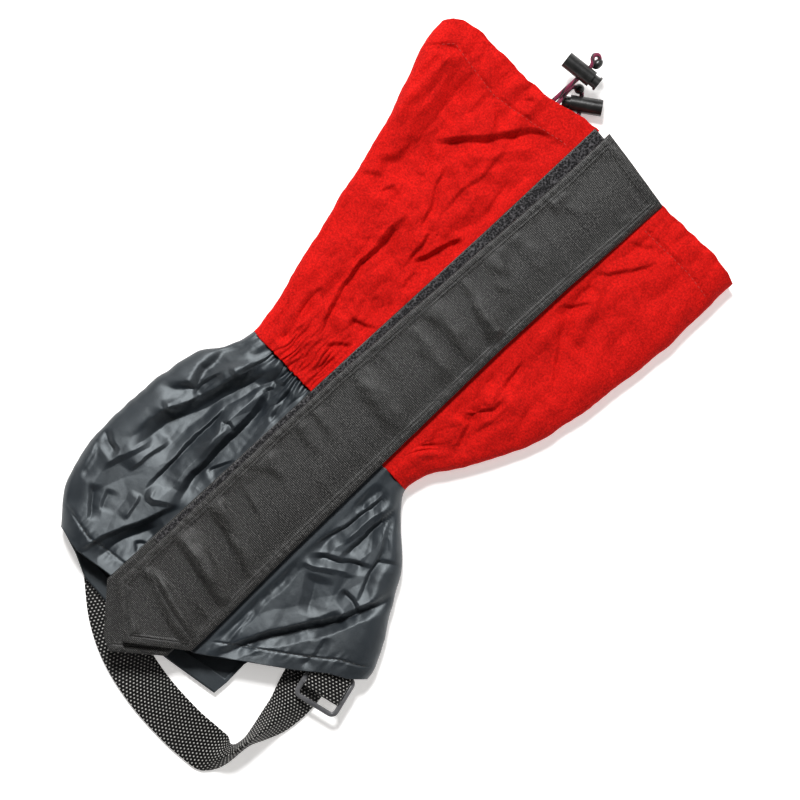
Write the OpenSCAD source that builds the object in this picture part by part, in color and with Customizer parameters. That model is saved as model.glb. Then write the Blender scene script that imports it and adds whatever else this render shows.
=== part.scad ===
// Leg gaiter lying flat on its back, closed. +Y runs up the leg, +X to the right of the front
// opening, +Z up from the surface that it lies on.

/* [Shell] */
// Height of the flattened tube's front face above the surface
shell_h = 14.5; // [13.5:0.1:16]
// Height of the side folds, where front and back meet
side_h = 6; // [5.5:0.1:6.5]
// Thickness of the shell cloth
cloth_t = 0.6; // [0.4:0.05:0.8]
// Height of the seam between the upper and the foot section
ankle_y = -32; // [-34:1:-30]
// Depth of the drawcord tunnel below the top edge
tunnel_depth = 16; // [14:1:18]

/* [Front closure] */
// Thickness of the placket
placket_t = 1.0; // [0.8:0.1:1.2]
// Thickness of the loop tape
loop_t = 1.4; // [1:0.1:1.5]
// Thickness of the hook tape
hook_t = 1.3; // [1:0.1:1.5]
// Thickness of the front flap
flap_t = 1.3; // [1:0.1:1.5]

/* [Drawcord and locks] */
// Diameter of the elastic drawcord
cord_d = 2.5; // [2:0.1:2.6]
// Diameter of a lock's barrel
lock_d = 9.4; // [9:0.1:9.6]
// Length of a lock's barrel
lock_len = 18; // [17:0.5:19]
// Travel of a lock's plunger
press_travel = 3; // [2:0.5:3]

/* [Strap and buckle] */
// Width of the foot strap's webbing
webbing_w = 26; // [24:0.5:26]
// Thickness of the foot strap's webbing
webbing_t = 1.4; // [1.2:0.1:1.5]
// Width of the buckle
buckle_w = 27.5; // [27:0.5:28]
// Length of the buckle
buckle_l = 25; // [24:0.5:26]
// Thickness of the buckle's frame
buckle_t = 2.4; // [2:0.1:2.6]

/* [Hidden] */

// The closure's centre line is the drafting origin; the part's origin is the middle of its base.
origin_x = -16.69;
origin_y = -20.7;
gap = 0.05;
nest = 0.3;
red = [0.82, 0.08, 0.07];
charcoal = [0.16, 0.18, 0.21];
black = [0.07, 0.07, 0.07];
steel = [0.7, 0.7, 0.72];

// Outlines, as pairs of a position along the leg and a position across it.
left_edge = [
  [-183, -80], [-166, -94], [-150, -100], [-125, -103], [-90, -102], [-62, -97], [-48, -88.5],
  [-33, -83.5], [-10, -87], [20, -95], [60, -105.5], [100, -115.6], [130, -127], [150, -133.5],
  [162, -134.5], [200, -134.5]
];
right_edge = [
  [-200, 99], [-120, 99], [-100, 90.5], [-80, 77.5], [-62, 66.3], [-48, 50], [-33, 38], [-20, 39.8],
  [-14, 42], [-7, 47], [5, 54.5], [25, 64], [45, 71], [75, 76], [110, 80], [140, 81.5], [200, 81]
];
placket_seam = [[-185, -37], [-60, -35], [0, -34], [100, -31.5], [182, -30.5]];
flap_seam_x = 13;

// Top and bottom edges, as pairs of a position across the leg and a position along it.
front_top = [
  [-134.5, 162], [-131, 167], [-126, 171], [-118, 172.8], [-95, 173], [-78, 173.2], [-60, 175.5],
  [-45, 180], [-33, 182], [13, 178.5], [40, 179], [62, 180.5], [75, 179.3], [81, 177]
];
back_top = [[-134.5, 160], [-126, 169], [-115, 171.5], [-50, 172.5], [20, 174.5], [81, 175.5]];
front_bottom = [
  [-80, -183], [-64, -185.5], [-40, -181.5], [13, -181], [22, -178], [50, -157], [66, -145],
  [80, -133], [90, -127.5], [99, -120]
];
back_bottom = [
  [-80, -183.5], [-64, -188], [-50, -194], [-10, -195.5], [13, -192.5], [46, -186.5],
  [49.5, -160], [56, -147], [75, -128], [99, -114]
];

// Folds at the sides: how far the cloth takes to turn from flat to upright.
front_fold = 14;
back_fold = 8;
fold_steps = [0, 18, 36, 54, 72, 90];
front_flats = [1/3, 2/3, 1];
back_flats = [0.05, 0.13, 0.25, 0.4, 0.52, 0.63, 0.73, 0.747, 0.8, 0.9];
back_lift = 2;
back_lift_from = -140;
back_lift_run = 18;

// Heights of the stacked closure.
placket_z = shell_h + 0.1;
loop_z = placket_z + placket_t;
hook_z = loop_z + loop_t + 0.3;
flap_z = hook_z + hook_t;
hinge_x = 14;

// Lock positions: where the cord crosses the barrel, the barrel's heading, the cord's direction.
upper_lock_at = [-59.3, 197.4, 16.5];
upper_lock_turn = 7.7;
upper_cord_from = [-60.2, 174.5, 12.45];
lower_lock_at = [-48.4, 185, 4.9];
lower_lock_turn = 216.6;
lower_cord_from = [-44.3, 179.4, 4.9];
lock_back = 12.2;
lock_bore_d = 7.2;
plunger_d = 7.04;
plunger_reach = 10.3;
plunger_head_d = 8.4;
plunger_head_l = 1.4;
spring_room = 5;
cord_hole_r = cord_d / 2 + 0.15;

// Cord routes.
upper_cord_route = [
  [-60.4, 170, 12.45], upper_cord_from, [-59.89, 182.5, 13.86], [-59.3, 197.4, 16.5],
  [-59.08, 203, 17.5]
];
end_loop_route = [
  [-59.05, 203.2, 17.5], [-60, 204.9, 17.6], [-61.7, 206.4, 17.4], [-62.2, 208.4, 17],
  [-60.8, 209.9, 16.4], [-58.9, 209.2, 15.9], [-58, 207.4, 15.6]
];
turn_at = [-54.6, 186.6];
turn_r = 4;
turn_rise = [[36, 4.9], [66, 5.6], [96, 6.6], [126, 7.6], [156, 8.4], [180, 9]];
lower_cord_route = concat(
  [[-51.9, 166.8, 12.45], [-49.6, 167.4, 12.1], [-47, 169, 11], [-44.9, 172.2, 8.6],
    [-43.6, 175.8, 6.2], lower_cord_from, lower_lock_at],
  [for (t = turn_rise) [turn_at[0] + turn_r * cos(t[0]), turn_at[1] + turn_r * sin(t[0]), t[1]]],
  [[-58.3, 182.6, 10.3], [-57.6, 178.5, 11.5], [-57.2, 174.5, 12.3], [-57, 169.6, 12.45]]
);
bead_at = [-55, 190.5, 6.6];
stopper_at = [-57.6, 206.4, 15.4];

// Strap stations: centre, height of its edges, heading, and how far it is folded lengthwise.
strap_stations = [
  [-56, -173, 0.1, -42, 0], [-42, -184.5, 0.1, -38, 0], [-24, -198, 0.1, -31, 0],
  [-4, -207, 0.1, -20, 0], [20, -211.7, 0.1, -6, 0], [45, -212.6, 0.1, 1, 0],
  [60, -211.8, 0.1, 5, 2], [67.5, -210.6, 0.1, 12, 16], [73.4, -207, 0.1, 38, 52],
  [76.8, -201, 0.1, 66, 71], [77.7, -193, 0.1, 86, 78], [78.6, -184, 0.1, 88, 66],
  [79.4, -174, 0.1, 92, 50], [79, -164, 0.1, 97, 38], [77.4, -155, 0.3, 101, 24],
  [75.4, -146, 1.3, 103, 12], [73.4, -137, 1.75, 103, 4], [71.2, -128, 1.75, 103, 0],
  [69.4, -120, 1.75, 103, 0]
];

// Buckle: middle of its lower edge, turn, and height of its middle bar.
buckle_at = [88.6, -152, 9];
buckle_turn = 14.7;
middle_bar_y = 10;
middle_bar_r = 1.5;
frame_bar = 2.2;
buckle_corner = 3.5;
tab_w = 21.6;
tab_t = 1.3;
tab_l = 26;

// Lace hook.
rivet_x = [-13.5, -3.4];
rivet_y = -163;
rivet_r = 1.3;

function lerp(a, b, f) = a + (b - a) * f;
function clamp01(f) = max(0, min(1, f));
function smooth(f) = let(c = clamp01(f)) c * c * (3 - 2 * c);

// A smooth curve through pairs, by cubic pieces.
function piece(x, p, i = 0) = i >= len(p) - 2 || x <= p[i + 1][0] ? i : piece(x, p, i + 1);
function rise(p, i) =
  let(a = max(0, i - 1), b = min(len(p) - 1, i + 1)) (p[b][1] - p[a][1]) / (p[b][0] - p[a][0]);
function curve(x, p) =
  let(i = piece(x, p), h = p[i + 1][0] - p[i][0], u = clamp01((x - p[i][0]) / h))
  (1 - 3 * u * u + 2 * u * u * u) * p[i][1] + (3 * u * u - 2 * u * u * u) * p[i + 1][1]
  + h * (u - 2 * u * u + u * u * u) * rise(p, i) + h * (u * u * u - u * u) * rise(p, i + 1);

// Points across the tube at one height along the leg, `off` in from the outer surface.
function front_turn(side, sign, off, a) = [
  side + sign * (off + (front_fold - off) * (1 - cos(a))),
  side_h + gap + (shell_h - off - side_h - gap) * sin(a)
];
function back_turn(side, sign, off, lift, a) = [
  side + sign * (off + (back_fold - off) * (1 - cos(a))),
  side_h - gap - (side_h - gap - off - lift) * sin(a)
];
function lift_at(y) = back_lift * smooth((back_lift_from - y) / back_lift_run);
function across_left(y, off) = let(s = curve(y, left_edge)) concat(
  [for (a = fold_steps) front_turn(s, 1, off, a)],
  [for (f = front_flats) [lerp(s + front_fold, curve(y, placket_seam), f), shell_h - off]]
);
function across_right(y, off) = let(s = curve(y, right_edge)) concat(
  [for (i = [len(front_flats) - 1:-1:0])
    [lerp(s - front_fold, flap_seam_x, front_flats[i]), shell_h - off]],
  [for (i = [len(fold_steps) - 1:-1:0]) front_turn(s, -1, off, fold_steps[i])]
);
function across_back(y, off) =
  let(l = curve(y, left_edge), r = curve(y, right_edge), lift = lift_at(y)) concat(
  [for (a = fold_steps) back_turn(l, 1, off, lift, a)],
  [for (f = back_flats) [lerp(l + back_fold, r - back_fold, f), off + lift]],
  [for (i = [len(fold_steps) - 1:-1:0]) back_turn(r, -1, off, lift, fold_steps[i])]
);
function across(part, y, off) = part == "left" ? across_left(y, off)
  : part == "right" ? across_right(y, off) : across_back(y, off);

// Edges of a panel, one value for each of its columns.
function edge_line(part, y, table) = [for (p = across(part, y, 0)) lookup(p[0], table)];
function level_line(part, y) = [for (p = across(part, y, 0)) y];
function shifted(line, by) = [for (v = line) v + by];
function top_line(part) = edge_line(part, 175, part == "back" ? back_top : front_top);
function bottom_line(part) = edge_line(part, -185, part == "back" ? back_bottom : front_bottom);

// Rows of points from one edge line to another; offs gives one offset for each row.
function cloth_rows(part, from, to, offs) = let(n = len(offs) - 1)
  [for (j = [0:n]) [for (k = [0:len(from) - 1])
    let(y = lerp(from[k], to[k], j / n), p = across(part, y, offs[j])[k]) [p[0], y, p[1]]]];

// A closed solid between two grids of points that face each other, the upper one first.
module between(upper, lower) {
  n = len(upper);
  m = len(upper[0]);
  size = n * m;
  points = concat([for (r = upper) each r], [for (r = lower) each r]);
  skin = [for (j = [0:n - 2]) for (k = [0:m - 2])
    let(a = j * m + k, b = a + 1, c = b + m, d = a + m) each [
      [a, b, c], [a, c, d], [size + a, size + c, size + b], [size + a, size + d, size + c]
    ]];
  ends = [for (k = [0:m - 2]) let(t = k, u = (n - 1) * m + k) each [
    [t + 1, t, size + t], [t + 1, size + t, size + t + 1],
    [u, u + 1, size + u + 1], [u, size + u + 1, size + u]
  ]];
  sides = [for (j = [0:n - 2]) let(l = j * m, r = l + m - 1) each [
    [l, l + m, size + l + m], [l, size + l + m, size + l],
    [r + m, r, size + r], [r + m, size + r, size + r + m]
  ]];
  polyhedron(points, concat(skin, ends, sides));
}

// A layer of cloth from one edge line to another. On the back the outer surface is the lower one.
module cloth(part, from, to, offs, thick) {
  outer = cloth_rows(part, from, to, offs);
  inner = cloth_rows(part, from, to, [for (o = offs) o + thick]);
  if (part == "back") between(inner, outer);
  else between(outer, inner);
}

// A round cord along a route; `up` is a direction that the route never takes.
function unit(v) = v / norm(v);
function tangent(p, i) = unit(p[min(i + 1, len(p) - 1)] - p[max(i - 1, 0)]);
module round_cord(route, d, up, sides = 8) {
  n = len(route);
  points = [for (i = [0:n - 1])
    let(t = tangent(route, i), u = unit(cross(up, t)), v = cross(t, u))
    for (k = [0:sides - 1]) route[i] + d / 2 * (cos(360 * k / sides) * u + sin(360 * k / sides) * v)];
  walls = [for (i = [0:n - 2]) for (k = [0:sides - 1])
    let(a = i * sides + k, b = i * sides + (k + 1) % sides) each [
      [a, a + sides, b + sides], [a, b + sides, b]
    ]];
  caps = [[for (k = [0:sides - 1]) k], [for (k = [sides - 1:-1:0]) (n - 1) * sides + k]];
  polyhedron(points, concat(walls, caps));
}

// Extra points between a route's own, on a smooth curve through them.
function between_points(a, b, c, d, f) = 0.5 * (2 * b + (c - a) * f
  + (2 * a - 5 * b + 4 * c - d) * f * f + (3 * b - a - 3 * c + d) * f * f * f);
function eased(p, steps) = let(n = len(p)) concat(
  [for (i = [0:n - 2]) for (s = [0:steps - 1])
    between_points(p[max(i - 1, 0)], p[i], p[i + 1], p[min(i + 2, n - 1)], s / steps)],
  [p[n - 1]]);

module placed() { translate([-origin_x, -origin_y, 0]) children(); }

module shell_panel(part, from, to) {
  cloth(part, from, to, [for (j = [0:12]) 0], cloth_t);
}

module upper_panel(part) {
  placed() color(red) shell_panel(part, top_line(part), level_line(part, ankle_y));
}

module foot_panel(part) {
  placed() color(charcoal) shell_panel(part, level_line(part, ankle_y - gap), bottom_line(part));
}

module upper_front_left() { upper_panel("left"); }
module upper_front_right() { upper_panel("right"); }
module upper_back() { upper_panel("back"); }
module foot_front_left() { foot_panel("left"); }
module foot_front_right() { foot_panel("right"); }
module foot_back() { foot_panel("back"); }

// Inner wall of the drawcord tunnel, closed on the shell along its top and bottom edges.
module top_hem(part) {
  near = cloth_t + nest;
  far = near + cord_d + 0.6;
  line = shifted(top_line(part), -0.5);
  placed() color(red) cloth(part, line, shifted(line, -tunnel_depth), [near, far, far, far, near], 0.5);
}
module top_hem_left() { top_hem("left"); }
module top_hem_right() { top_hem("right"); }
module top_hem_back() { top_hem("back"); }

// Elastic sewn inside the ankle, behind the gathers.
module ankle_elastic(part) {
  placed() color(black)
    cloth(part, level_line(part, ankle_y + 20), level_line(part, ankle_y + 1),
      [for (j = [0:4]) cloth_t + 2 * nest], 1.2);
}
module ankle_elastic_left() { ankle_elastic("left"); }
module ankle_elastic_right() { ankle_elastic("right"); }
module ankle_elastic_back() { ankle_elastic("back"); }

// Cloth folded up inside the lower edge.
module foot_hem(part) {
  line = shifted(bottom_line(part), 0.5);
  placed() color(charcoal) cloth(part, shifted(line, 10), line, [for (j = [0:2]) cloth_t + nest], 0.5);
}
module foot_hem_left() { foot_hem("left"); }
module foot_hem_right() { foot_hem("right"); }
module foot_hem_back() { foot_hem("back"); }

module slab(outline, z, thick) { translate([0, 0, z]) linear_extrude(thick) polygon(outline); }

module front_placket() {
  placed() color(black) difference() {
    slab([
      [-33, 181], [-34.2, 100], [-36.8, 0], [-38, -60], [-41, -184], [-20, -207], [-12, -211],
      [12.4, -190], [12.4, 177.5]
    ], placket_z, placket_t);
    for (x = rivet_x) translate([x, rivet_y, placket_z - 1])
      cylinder(r = rivet_r + 0.02, h = placket_t + 2, $fn = 32);
  }
}

module loop_tape() {
  placed() color(black)
    slab([[-32.4, 180], [-33.6, 100], [-36.2, 0], [-37.6, -60], [-39, -150], [6, -150], [6, 177]],
      loop_z, loop_t);
}

// The flap's own hem, sewn down on the right front panel.
module flap_sewn_edge() {
  top = flap_z + flap_t;
  half = 4.2;
  placed() color(black) translate([hinge_x + 0.2, 0, 0]) rotate([90, 0, 0])
    translate([0, 0, -177.6]) linear_extrude(177.6 + 178)
      polygon([[0, placket_z], [half * 2, placket_z], [half * 2, placket_z + flap_t], [half, top], [0, top]]);
}

module front_flap() {
  placed() color(black)
    slab([
      [-25.5, 184.2], [-25.5, 150], [-28.5, 90], [-32, 20], [-34, -20], [-35, -60], [-36, -180],
      [-10, -201.5], [hinge_x - 0.2, -182], [hinge_x - 0.2, 178.4]
    ], flap_z, flap_t);
}

module hook_tape() {
  placed() color(black) slab([[-22, 176], [-22, -150], [11, -150], [11, 174]], hook_z, hook_t);
}

// A riveted plate with a hook that bends back under its own tip.
module lace_hook() {
  plate_z = placket_z - 0.9;
  bend_r = 2.6;
  mid = (rivet_x[0] + rivet_x[1]) / 2;
  placed() color(steel) difference() {
    union() {
      translate([mid - 8.5, rivet_y - 4.5, plate_z]) cube([17, 9, 0.8]);
      translate([mid - 3, rivet_y - 13, plate_z]) cube([6, 9, 0.8]);
      translate([mid - 3, rivet_y - 13, plate_z + 0.8 - bend_r]) rotate([90, 0, 90])
        linear_extrude(6) intersection() {
          difference() { circle(bend_r, $fn = 48); circle(bend_r - 0.8, $fn = 48); }
          translate([-bend_r, -bend_r]) square([bend_r, bend_r * 2]);
        }
      translate([mid - 3, rivet_y - 13, plate_z + 0.8 - bend_r * 2]) cube([6, 5, 0.8]);
    }
    for (x = rivet_x) translate([x, rivet_y, plate_z - 1]) cylinder(r = rivet_r + 0.02, h = 3, $fn = 32);
  }
}

module lace_hook_rivets() {
  plate_z = placket_z - 0.9;
  placed() color(steel) for (x = rivet_x) translate([x, rivet_y, 0]) {
    translate([0, 0, plate_z - 0.7]) cylinder(r = 2, h = 0.65, $fn = 32);
    translate([0, 0, plate_z - 0.7]) cylinder(r = rivet_r, h = placket_t + 1.8, $fn = 32);
    translate([0, 0, loop_z + gap]) cylinder(r = 2.2, h = 0.7, $fn = 32);
  }
}

// The two runs of cord in the tunnel, from the front left round the back to the front right.
function tunnel_y(x, part, drop) = lookup(x, part == "back" ? back_top : front_top) - drop;
function turned(side, sign, part, a, off) =
  part == "back" ? back_turn(side, sign, off, 0, a) : front_turn(side, sign, off, a);
function tunnel_turn(edge, sign, part, a, off, drop) = let(
    y = tunnel_y(turned(curve(165, edge), sign, part, a, 0)[0], part, drop),
    p = turned(curve(y, edge), sign, part, a, off)
  ) [p[0], y, p[1]];
function tunnel_run(start_x, drop) = let(
    off = cloth_t + 0.45 + cord_d / 2,
    n = len(fold_steps) - 1,
    flat_left = [for (x = [start_x:-14:-110]) [x, tunnel_y(x, "left", drop), shell_h - off]],
    left_up = [for (i = [n:-1:0]) tunnel_turn(left_edge, 1, "left", fold_steps[i], off, drop)],
    left_down = [for (i = [1:n]) tunnel_turn(left_edge, 1, "back", fold_steps[i], off, drop)],
    flat_back = [for (x = [-108:17:60]) [x, tunnel_y(x, "back", drop), off]],
    right_down = [for (i = [n:-1:0]) tunnel_turn(right_edge, -1, "back", fold_steps[i], off, drop)],
    right_up = [for (i = [1:n]) tunnel_turn(right_edge, -1, "right", fold_steps[i], off, drop)],
    flat_right = [for (x = [54:-10:24]) [x, tunnel_y(x, "right", drop), shell_h - off]]
  ) concat(flat_left, left_up, left_down, flat_back, right_down, right_up, flat_right);

module drawcord() {
  placed() color("purple") {
    round_cord(tunnel_run(-63, 6), cord_d, [0, 1, 0]);
    round_cord(tunnel_run(-52.8, 11), cord_d, [0, 1, 0]);
  }
}

module cord_upper() { placed() color("purple") round_cord(eased(upper_cord_route, 3), cord_d, [0, 0, 1]); }
module cord_lower() { placed() color("purple") round_cord(eased(lower_cord_route, 3), cord_d, [0, 0, 1]); }

// The tied end of the upper cord: a small loop, and the bead that it is knotted behind.
module cord_end_loop() {
  placed() color("purple") round_cord(eased(end_loop_route, 3), cord_d, [0, 0, 1]);
}

module cord_stopper() {
  placed() color(black) translate(stopper_at) for (y = [-1, 1]) translate([0, y, 0]) sphere(d = 5, $fn = 32);
}

module cord_bead() {
  placed() color(black) translate(bead_at) sphere(d = 5.8, $fn = 32);
}

// A lock's own frame: +X along the barrel towards the plunger, the cord crossing at its origin.
module at_lock(at, turn) { translate(at) rotate([0, 0, turn]) children(); }
function in_lock(v, turn) = [
  v[0] * cos(turn) + v[1] * sin(turn), v[1] * cos(turn) - v[0] * sin(turn), v[2]
];
module cord_way(v, reach = 0) {
  w = v[1] < 0 ? -v : v;
  rotate([0, 0, atan2(w[1], w[0]) - 90]) rotate([atan2(w[2], norm([w[0], w[1]])), 0, 0])
    rotate([90, 0, 0]) translate([0, 0, -15]) linear_extrude(30) {
      circle(cord_hole_r, $fn = 32);
      if (reach > 0) {
        translate([0, -cord_hole_r]) square([reach, cord_hole_r * 2]);
        translate([reach, 0]) circle(cord_hole_r, $fn = 32);
      }
    }
}
module rod(from, to, d, fn = 48) {
  translate([from, 0, 0]) rotate([0, 90, 0]) cylinder(d = d, h = to - from, $fn = fn);
}

module lock_barrel(at, turn, way) {
  placed() color(black) at_lock(at, turn) difference() {
    rod(-lock_back, lock_len - lock_back, lock_d);
    rod(-lock_back + 3, lock_len - lock_back + 1, lock_bore_d);
    cord_way(in_lock(way, turn));
  }
}

module lock_plunger(at, turn, way) {
  inner = -lock_back + 3 + spring_room;
  placed() color(black) at_lock(at, turn) difference() {
    union() {
      rod(inner, plunger_reach - plunger_head_l + gap, plunger_d);
      rod(plunger_reach - plunger_head_l, plunger_reach, plunger_head_d);
    }
    cord_way(in_lock(way, turn), press_travel + 0.2);
  }
}

module lock_spring(at, turn) {
  from = -lock_back + 3 + 0.4;
  length = spring_room - 0.8;
  turns = 4;
  steps = 10;
  coil_r = 2.4;
  route = [for (i = [0:turns * steps]) let(a = 360 * i / steps)
    [from + length * i / (turns * steps), coil_r * cos(a), coil_r * sin(a)]];
  placed() color(steel) at_lock(at, turn) round_cord(route, 0.6, [1, 0, 0], 6);
}

upper_way = upper_lock_at - upper_cord_from;
lower_way = lower_lock_at - lower_cord_from;
module upper_lock_barrel() { lock_barrel(upper_lock_at, upper_lock_turn, upper_way); }
module upper_lock_plunger() { lock_plunger(upper_lock_at, upper_lock_turn, upper_way); }
module upper_lock_spring() { lock_spring(upper_lock_at, upper_lock_turn); }
module lower_lock_barrel() { lock_barrel(lower_lock_at, lower_lock_turn, lower_way); }
module lower_lock_plunger() { lock_plunger(lower_lock_at, lower_lock_turn, lower_way); }
module lower_lock_spring() { lock_spring(lower_lock_at, lower_lock_turn); }

// Webbing along its stations: a ridge stands up where it is folded lengthwise.
strap_columns = [-1, -0.6, -0.2, 0.2, 0.6, 1];
function strap_row(s, low) = [for (c = strap_columns) let(
    half = webbing_w / 2,
    along = c * half * cos(s[4]),
    ridge = half * (1 - abs(c)) * sin(s[4]),
    under = low ? max(0, ridge + webbing_t - webbing_t / cos(s[4])) : ridge + webbing_t)
  [s[0] + along * sin(s[3]), s[1] - along * cos(s[3]), s[2] + under]];
module foot_strap() {
  placed() color(black)
    between([for (s = strap_stations) strap_row(s, false)], [for (s = strap_stations) strap_row(s, true)]);
}

module at_buckle() { translate(buckle_at) rotate([0, 0, buckle_turn]) children(); }

module rounded(w, l, r) {
  translate([-w / 2 + r, 0]) square([w - 2 * r, l]);
  translate([-w / 2, r]) square([w, l - 2 * r]);
  for (x = [-w / 2 + r, w / 2 - r], y = [r, l - r]) translate([x, y]) circle(r, $fn = 48);
}

module buckle_frame() {
  inner_w = buckle_w - 2 * frame_bar;
  placed() color(charcoal) at_buckle() {
    difference() {
      translate([0, 0, -buckle_t / 2]) linear_extrude(buckle_t) difference() {
        rounded(buckle_w, buckle_l, buckle_corner);
        translate([0, frame_bar + 0.5]) rounded(inner_w, buckle_l - 2 * frame_bar - 1, 1.4);
      }
      translate([-buckle_w / 2 + frame_bar, buckle_l - frame_bar - 1.5, 0.7]) cube([inner_w, 5, 5]);
    }
    translate([-inner_w / 2 - 0.5, middle_bar_y, 0]) rotate([0, 90, 0])
      cylinder(r = middle_bar_r, h = inner_w + 1, $fn = 48);
  }
}

// Webbing looped round the middle bar, its two layers lying together above the frame's far bar.
module buckle_tab() {
  outer_r = middle_bar_r + 0.08 + tab_t;
  placed() color(black) at_buckle() difference() {
    union() {
      translate([-tab_w / 2, middle_bar_y, 0]) rotate([0, 90, 0]) cylinder(r = outer_r, h = tab_w, $fn = 48);
      translate([-tab_w / 2, middle_bar_y, 1]) cube([tab_w, tab_l, outer_r - 1]);
    }
    translate([-tab_w, middle_bar_y, 0]) rotate([0, 90, 0])
      cylinder(r = middle_bar_r + 0.08, h = tab_w * 2, $fn = 48);
  }
}

// Rows of heavy stitching that hold the strap's end and the buckle's tab.
module bartacks() {
  strap_top = 0.1 + webbing_t;
  tab_top = buckle_at[2] + middle_bar_r + 0.08 + tab_t;
  placed() color(black) {
    translate([-56, -173, strap_top + gap]) rotate([0, 0, -42]) for (x = [2, 8])
      translate([x, -10, 0]) cube([1.6, 20, back_lift - strap_top - 2 * gap]);
    at_buckle() for (y = [middle_bar_y + 18, middle_bar_y + 23])
      translate([-7.5, y, tab_top - buckle_at[2] + gap]) cube([15, 1.6, 0.7]);
  }
}

upper_front_left();
upper_front_right();
upper_back();
foot_front_left();
foot_front_right();
foot_back();
top_hem_left();
top_hem_right();
top_hem_back();
ankle_elastic_left();
ankle_elastic_right();
ankle_elastic_back();
foot_hem_left();
foot_hem_right();
foot_hem_back();
front_placket();
loop_tape();
flap_sewn_edge();
front_flap();
hook_tape();
lace_hook();
lace_hook_rivets();
drawcord();
cord_upper();
cord_lower();
cord_end_loop();
cord_stopper();
cord_bead();
upper_lock_barrel();
upper_lock_plunger();
upper_lock_spring();
lower_lock_barrel();
lower_lock_plunger();
lower_lock_spring();
foot_strap();
buckle_frame();
buckle_tab();
bartacks();
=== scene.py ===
"""Looks of a leg gaiter lying flat on its back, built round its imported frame.

Shapes are drafted in millimetres from the closure's centre line, +Y up the leg, and moved into the
row frame in metres when a mesh is made.
"""

import math

import bpy
import numpy as np
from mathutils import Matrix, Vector


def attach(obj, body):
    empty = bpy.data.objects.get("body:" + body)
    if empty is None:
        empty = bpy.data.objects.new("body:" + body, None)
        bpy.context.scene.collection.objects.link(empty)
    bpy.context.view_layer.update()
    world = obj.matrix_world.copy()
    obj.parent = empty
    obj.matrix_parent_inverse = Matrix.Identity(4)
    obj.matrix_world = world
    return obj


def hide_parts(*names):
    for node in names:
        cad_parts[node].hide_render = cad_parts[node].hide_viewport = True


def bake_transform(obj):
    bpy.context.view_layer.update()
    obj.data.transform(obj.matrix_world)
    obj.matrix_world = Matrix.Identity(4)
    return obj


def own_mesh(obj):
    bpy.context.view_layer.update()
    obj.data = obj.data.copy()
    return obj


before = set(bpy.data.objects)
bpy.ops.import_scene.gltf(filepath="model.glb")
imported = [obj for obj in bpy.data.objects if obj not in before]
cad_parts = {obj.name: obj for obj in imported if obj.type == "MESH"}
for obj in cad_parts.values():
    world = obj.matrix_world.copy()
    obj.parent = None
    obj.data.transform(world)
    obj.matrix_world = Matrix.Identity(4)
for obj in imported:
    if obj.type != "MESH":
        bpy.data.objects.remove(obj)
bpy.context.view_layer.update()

# ---------------------------------------------------------------- layout, in millimetres

ORIGIN = np.array([-16.69, -20.7, 0.0])
SHELL_H = 14.5
SIDE_H = 6.0
FRONT_FOLD = 15.0
BACK_FOLD = 8.0
ANKLE_Y = -32.0
CLOTH_T = 0.5
FLAP_TOP = 19.9
FLAP_T = 1.3
PLACKET_TOP = 15.6
LOOP_TOP = 17.0
CORD_D = 2.5
GATHERS_FROM = -11.0
FOOT_HEM = 10.0
CLOSURE_LEFT, CLOSURE_RIGHT = -34.5, 22.5
BACK_LIFT, BACK_LIFT_FROM, BACK_LIFT_RUN = 2.0, -140.0, 18.0

LEFT_EDGE = [
    (-183, -80), (-166, -94), (-150, -100), (-125, -103), (-90, -102), (-62, -97), (-48, -88.5),
    (-33, -83.5), (-10, -87), (20, -95), (60, -105.5), (100, -115.6), (130, -127), (150, -133.5),
    (162, -134.5), (200, -134.5),
]
RIGHT_EDGE = [
    (-200, 99), (-120, 99), (-100, 90.5), (-80, 77.5), (-62, 66.3), (-48, 50), (-33, 38), (-20, 39.8),
    (-14, 42), (-7, 47), (5, 54.5), (25, 64), (45, 71), (75, 76), (110, 80), (140, 81.5), (200, 81),
]
PLACKET_SEAM = [(-185, -37), (-60, -35), (0, -34), (100, -31.5), (182, -30.5)]
FLAP_SEAM_X = 13.0
FRONT_TOP = [
    (-134.5, 162), (-131, 167), (-126, 171), (-118, 172.8), (-95, 173), (-78, 173.2),
    (-60, 175.5), (-45, 180), (-33, 182), (13, 178.5), (40, 179), (62, 180.5), (75, 179.3), (81, 177),
]
BACK_TOP = [(-134.5, 160), (-126, 169), (-115, 171.5), (-50, 172.5), (20, 174.5), (81, 175.5)]
FRONT_BOTTOM = [
    (-80, -183), (-64, -185.5), (-40, -181.5), (13, -181), (22, -178), (50, -157), (66, -145),
    (80, -133), (90, -127.5), (99, -120),
]
BACK_BOTTOM = [
    (-80, -183.5), (-64, -188), (-50, -194), (-10, -195.5), (13, -192.5), (46, -186.5),
    (49.5, -160), (56, -147), (75, -128), (99, -114),
]


def metres(points):
    """Row-frame positions of drafted points."""
    return (np.asarray(points, float) - ORIGIN) * 0.001


def smooth(f):
    """0 up to f = 0, 1 from f = 1, and an even S between."""
    f = np.clip(f, 0.0, 1.0)
    return f * f * (3 - 2 * f)


def lerp(a, b, f):
    """a at f = 0 and b at f = 1."""
    return a + (b - a) * f


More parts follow.
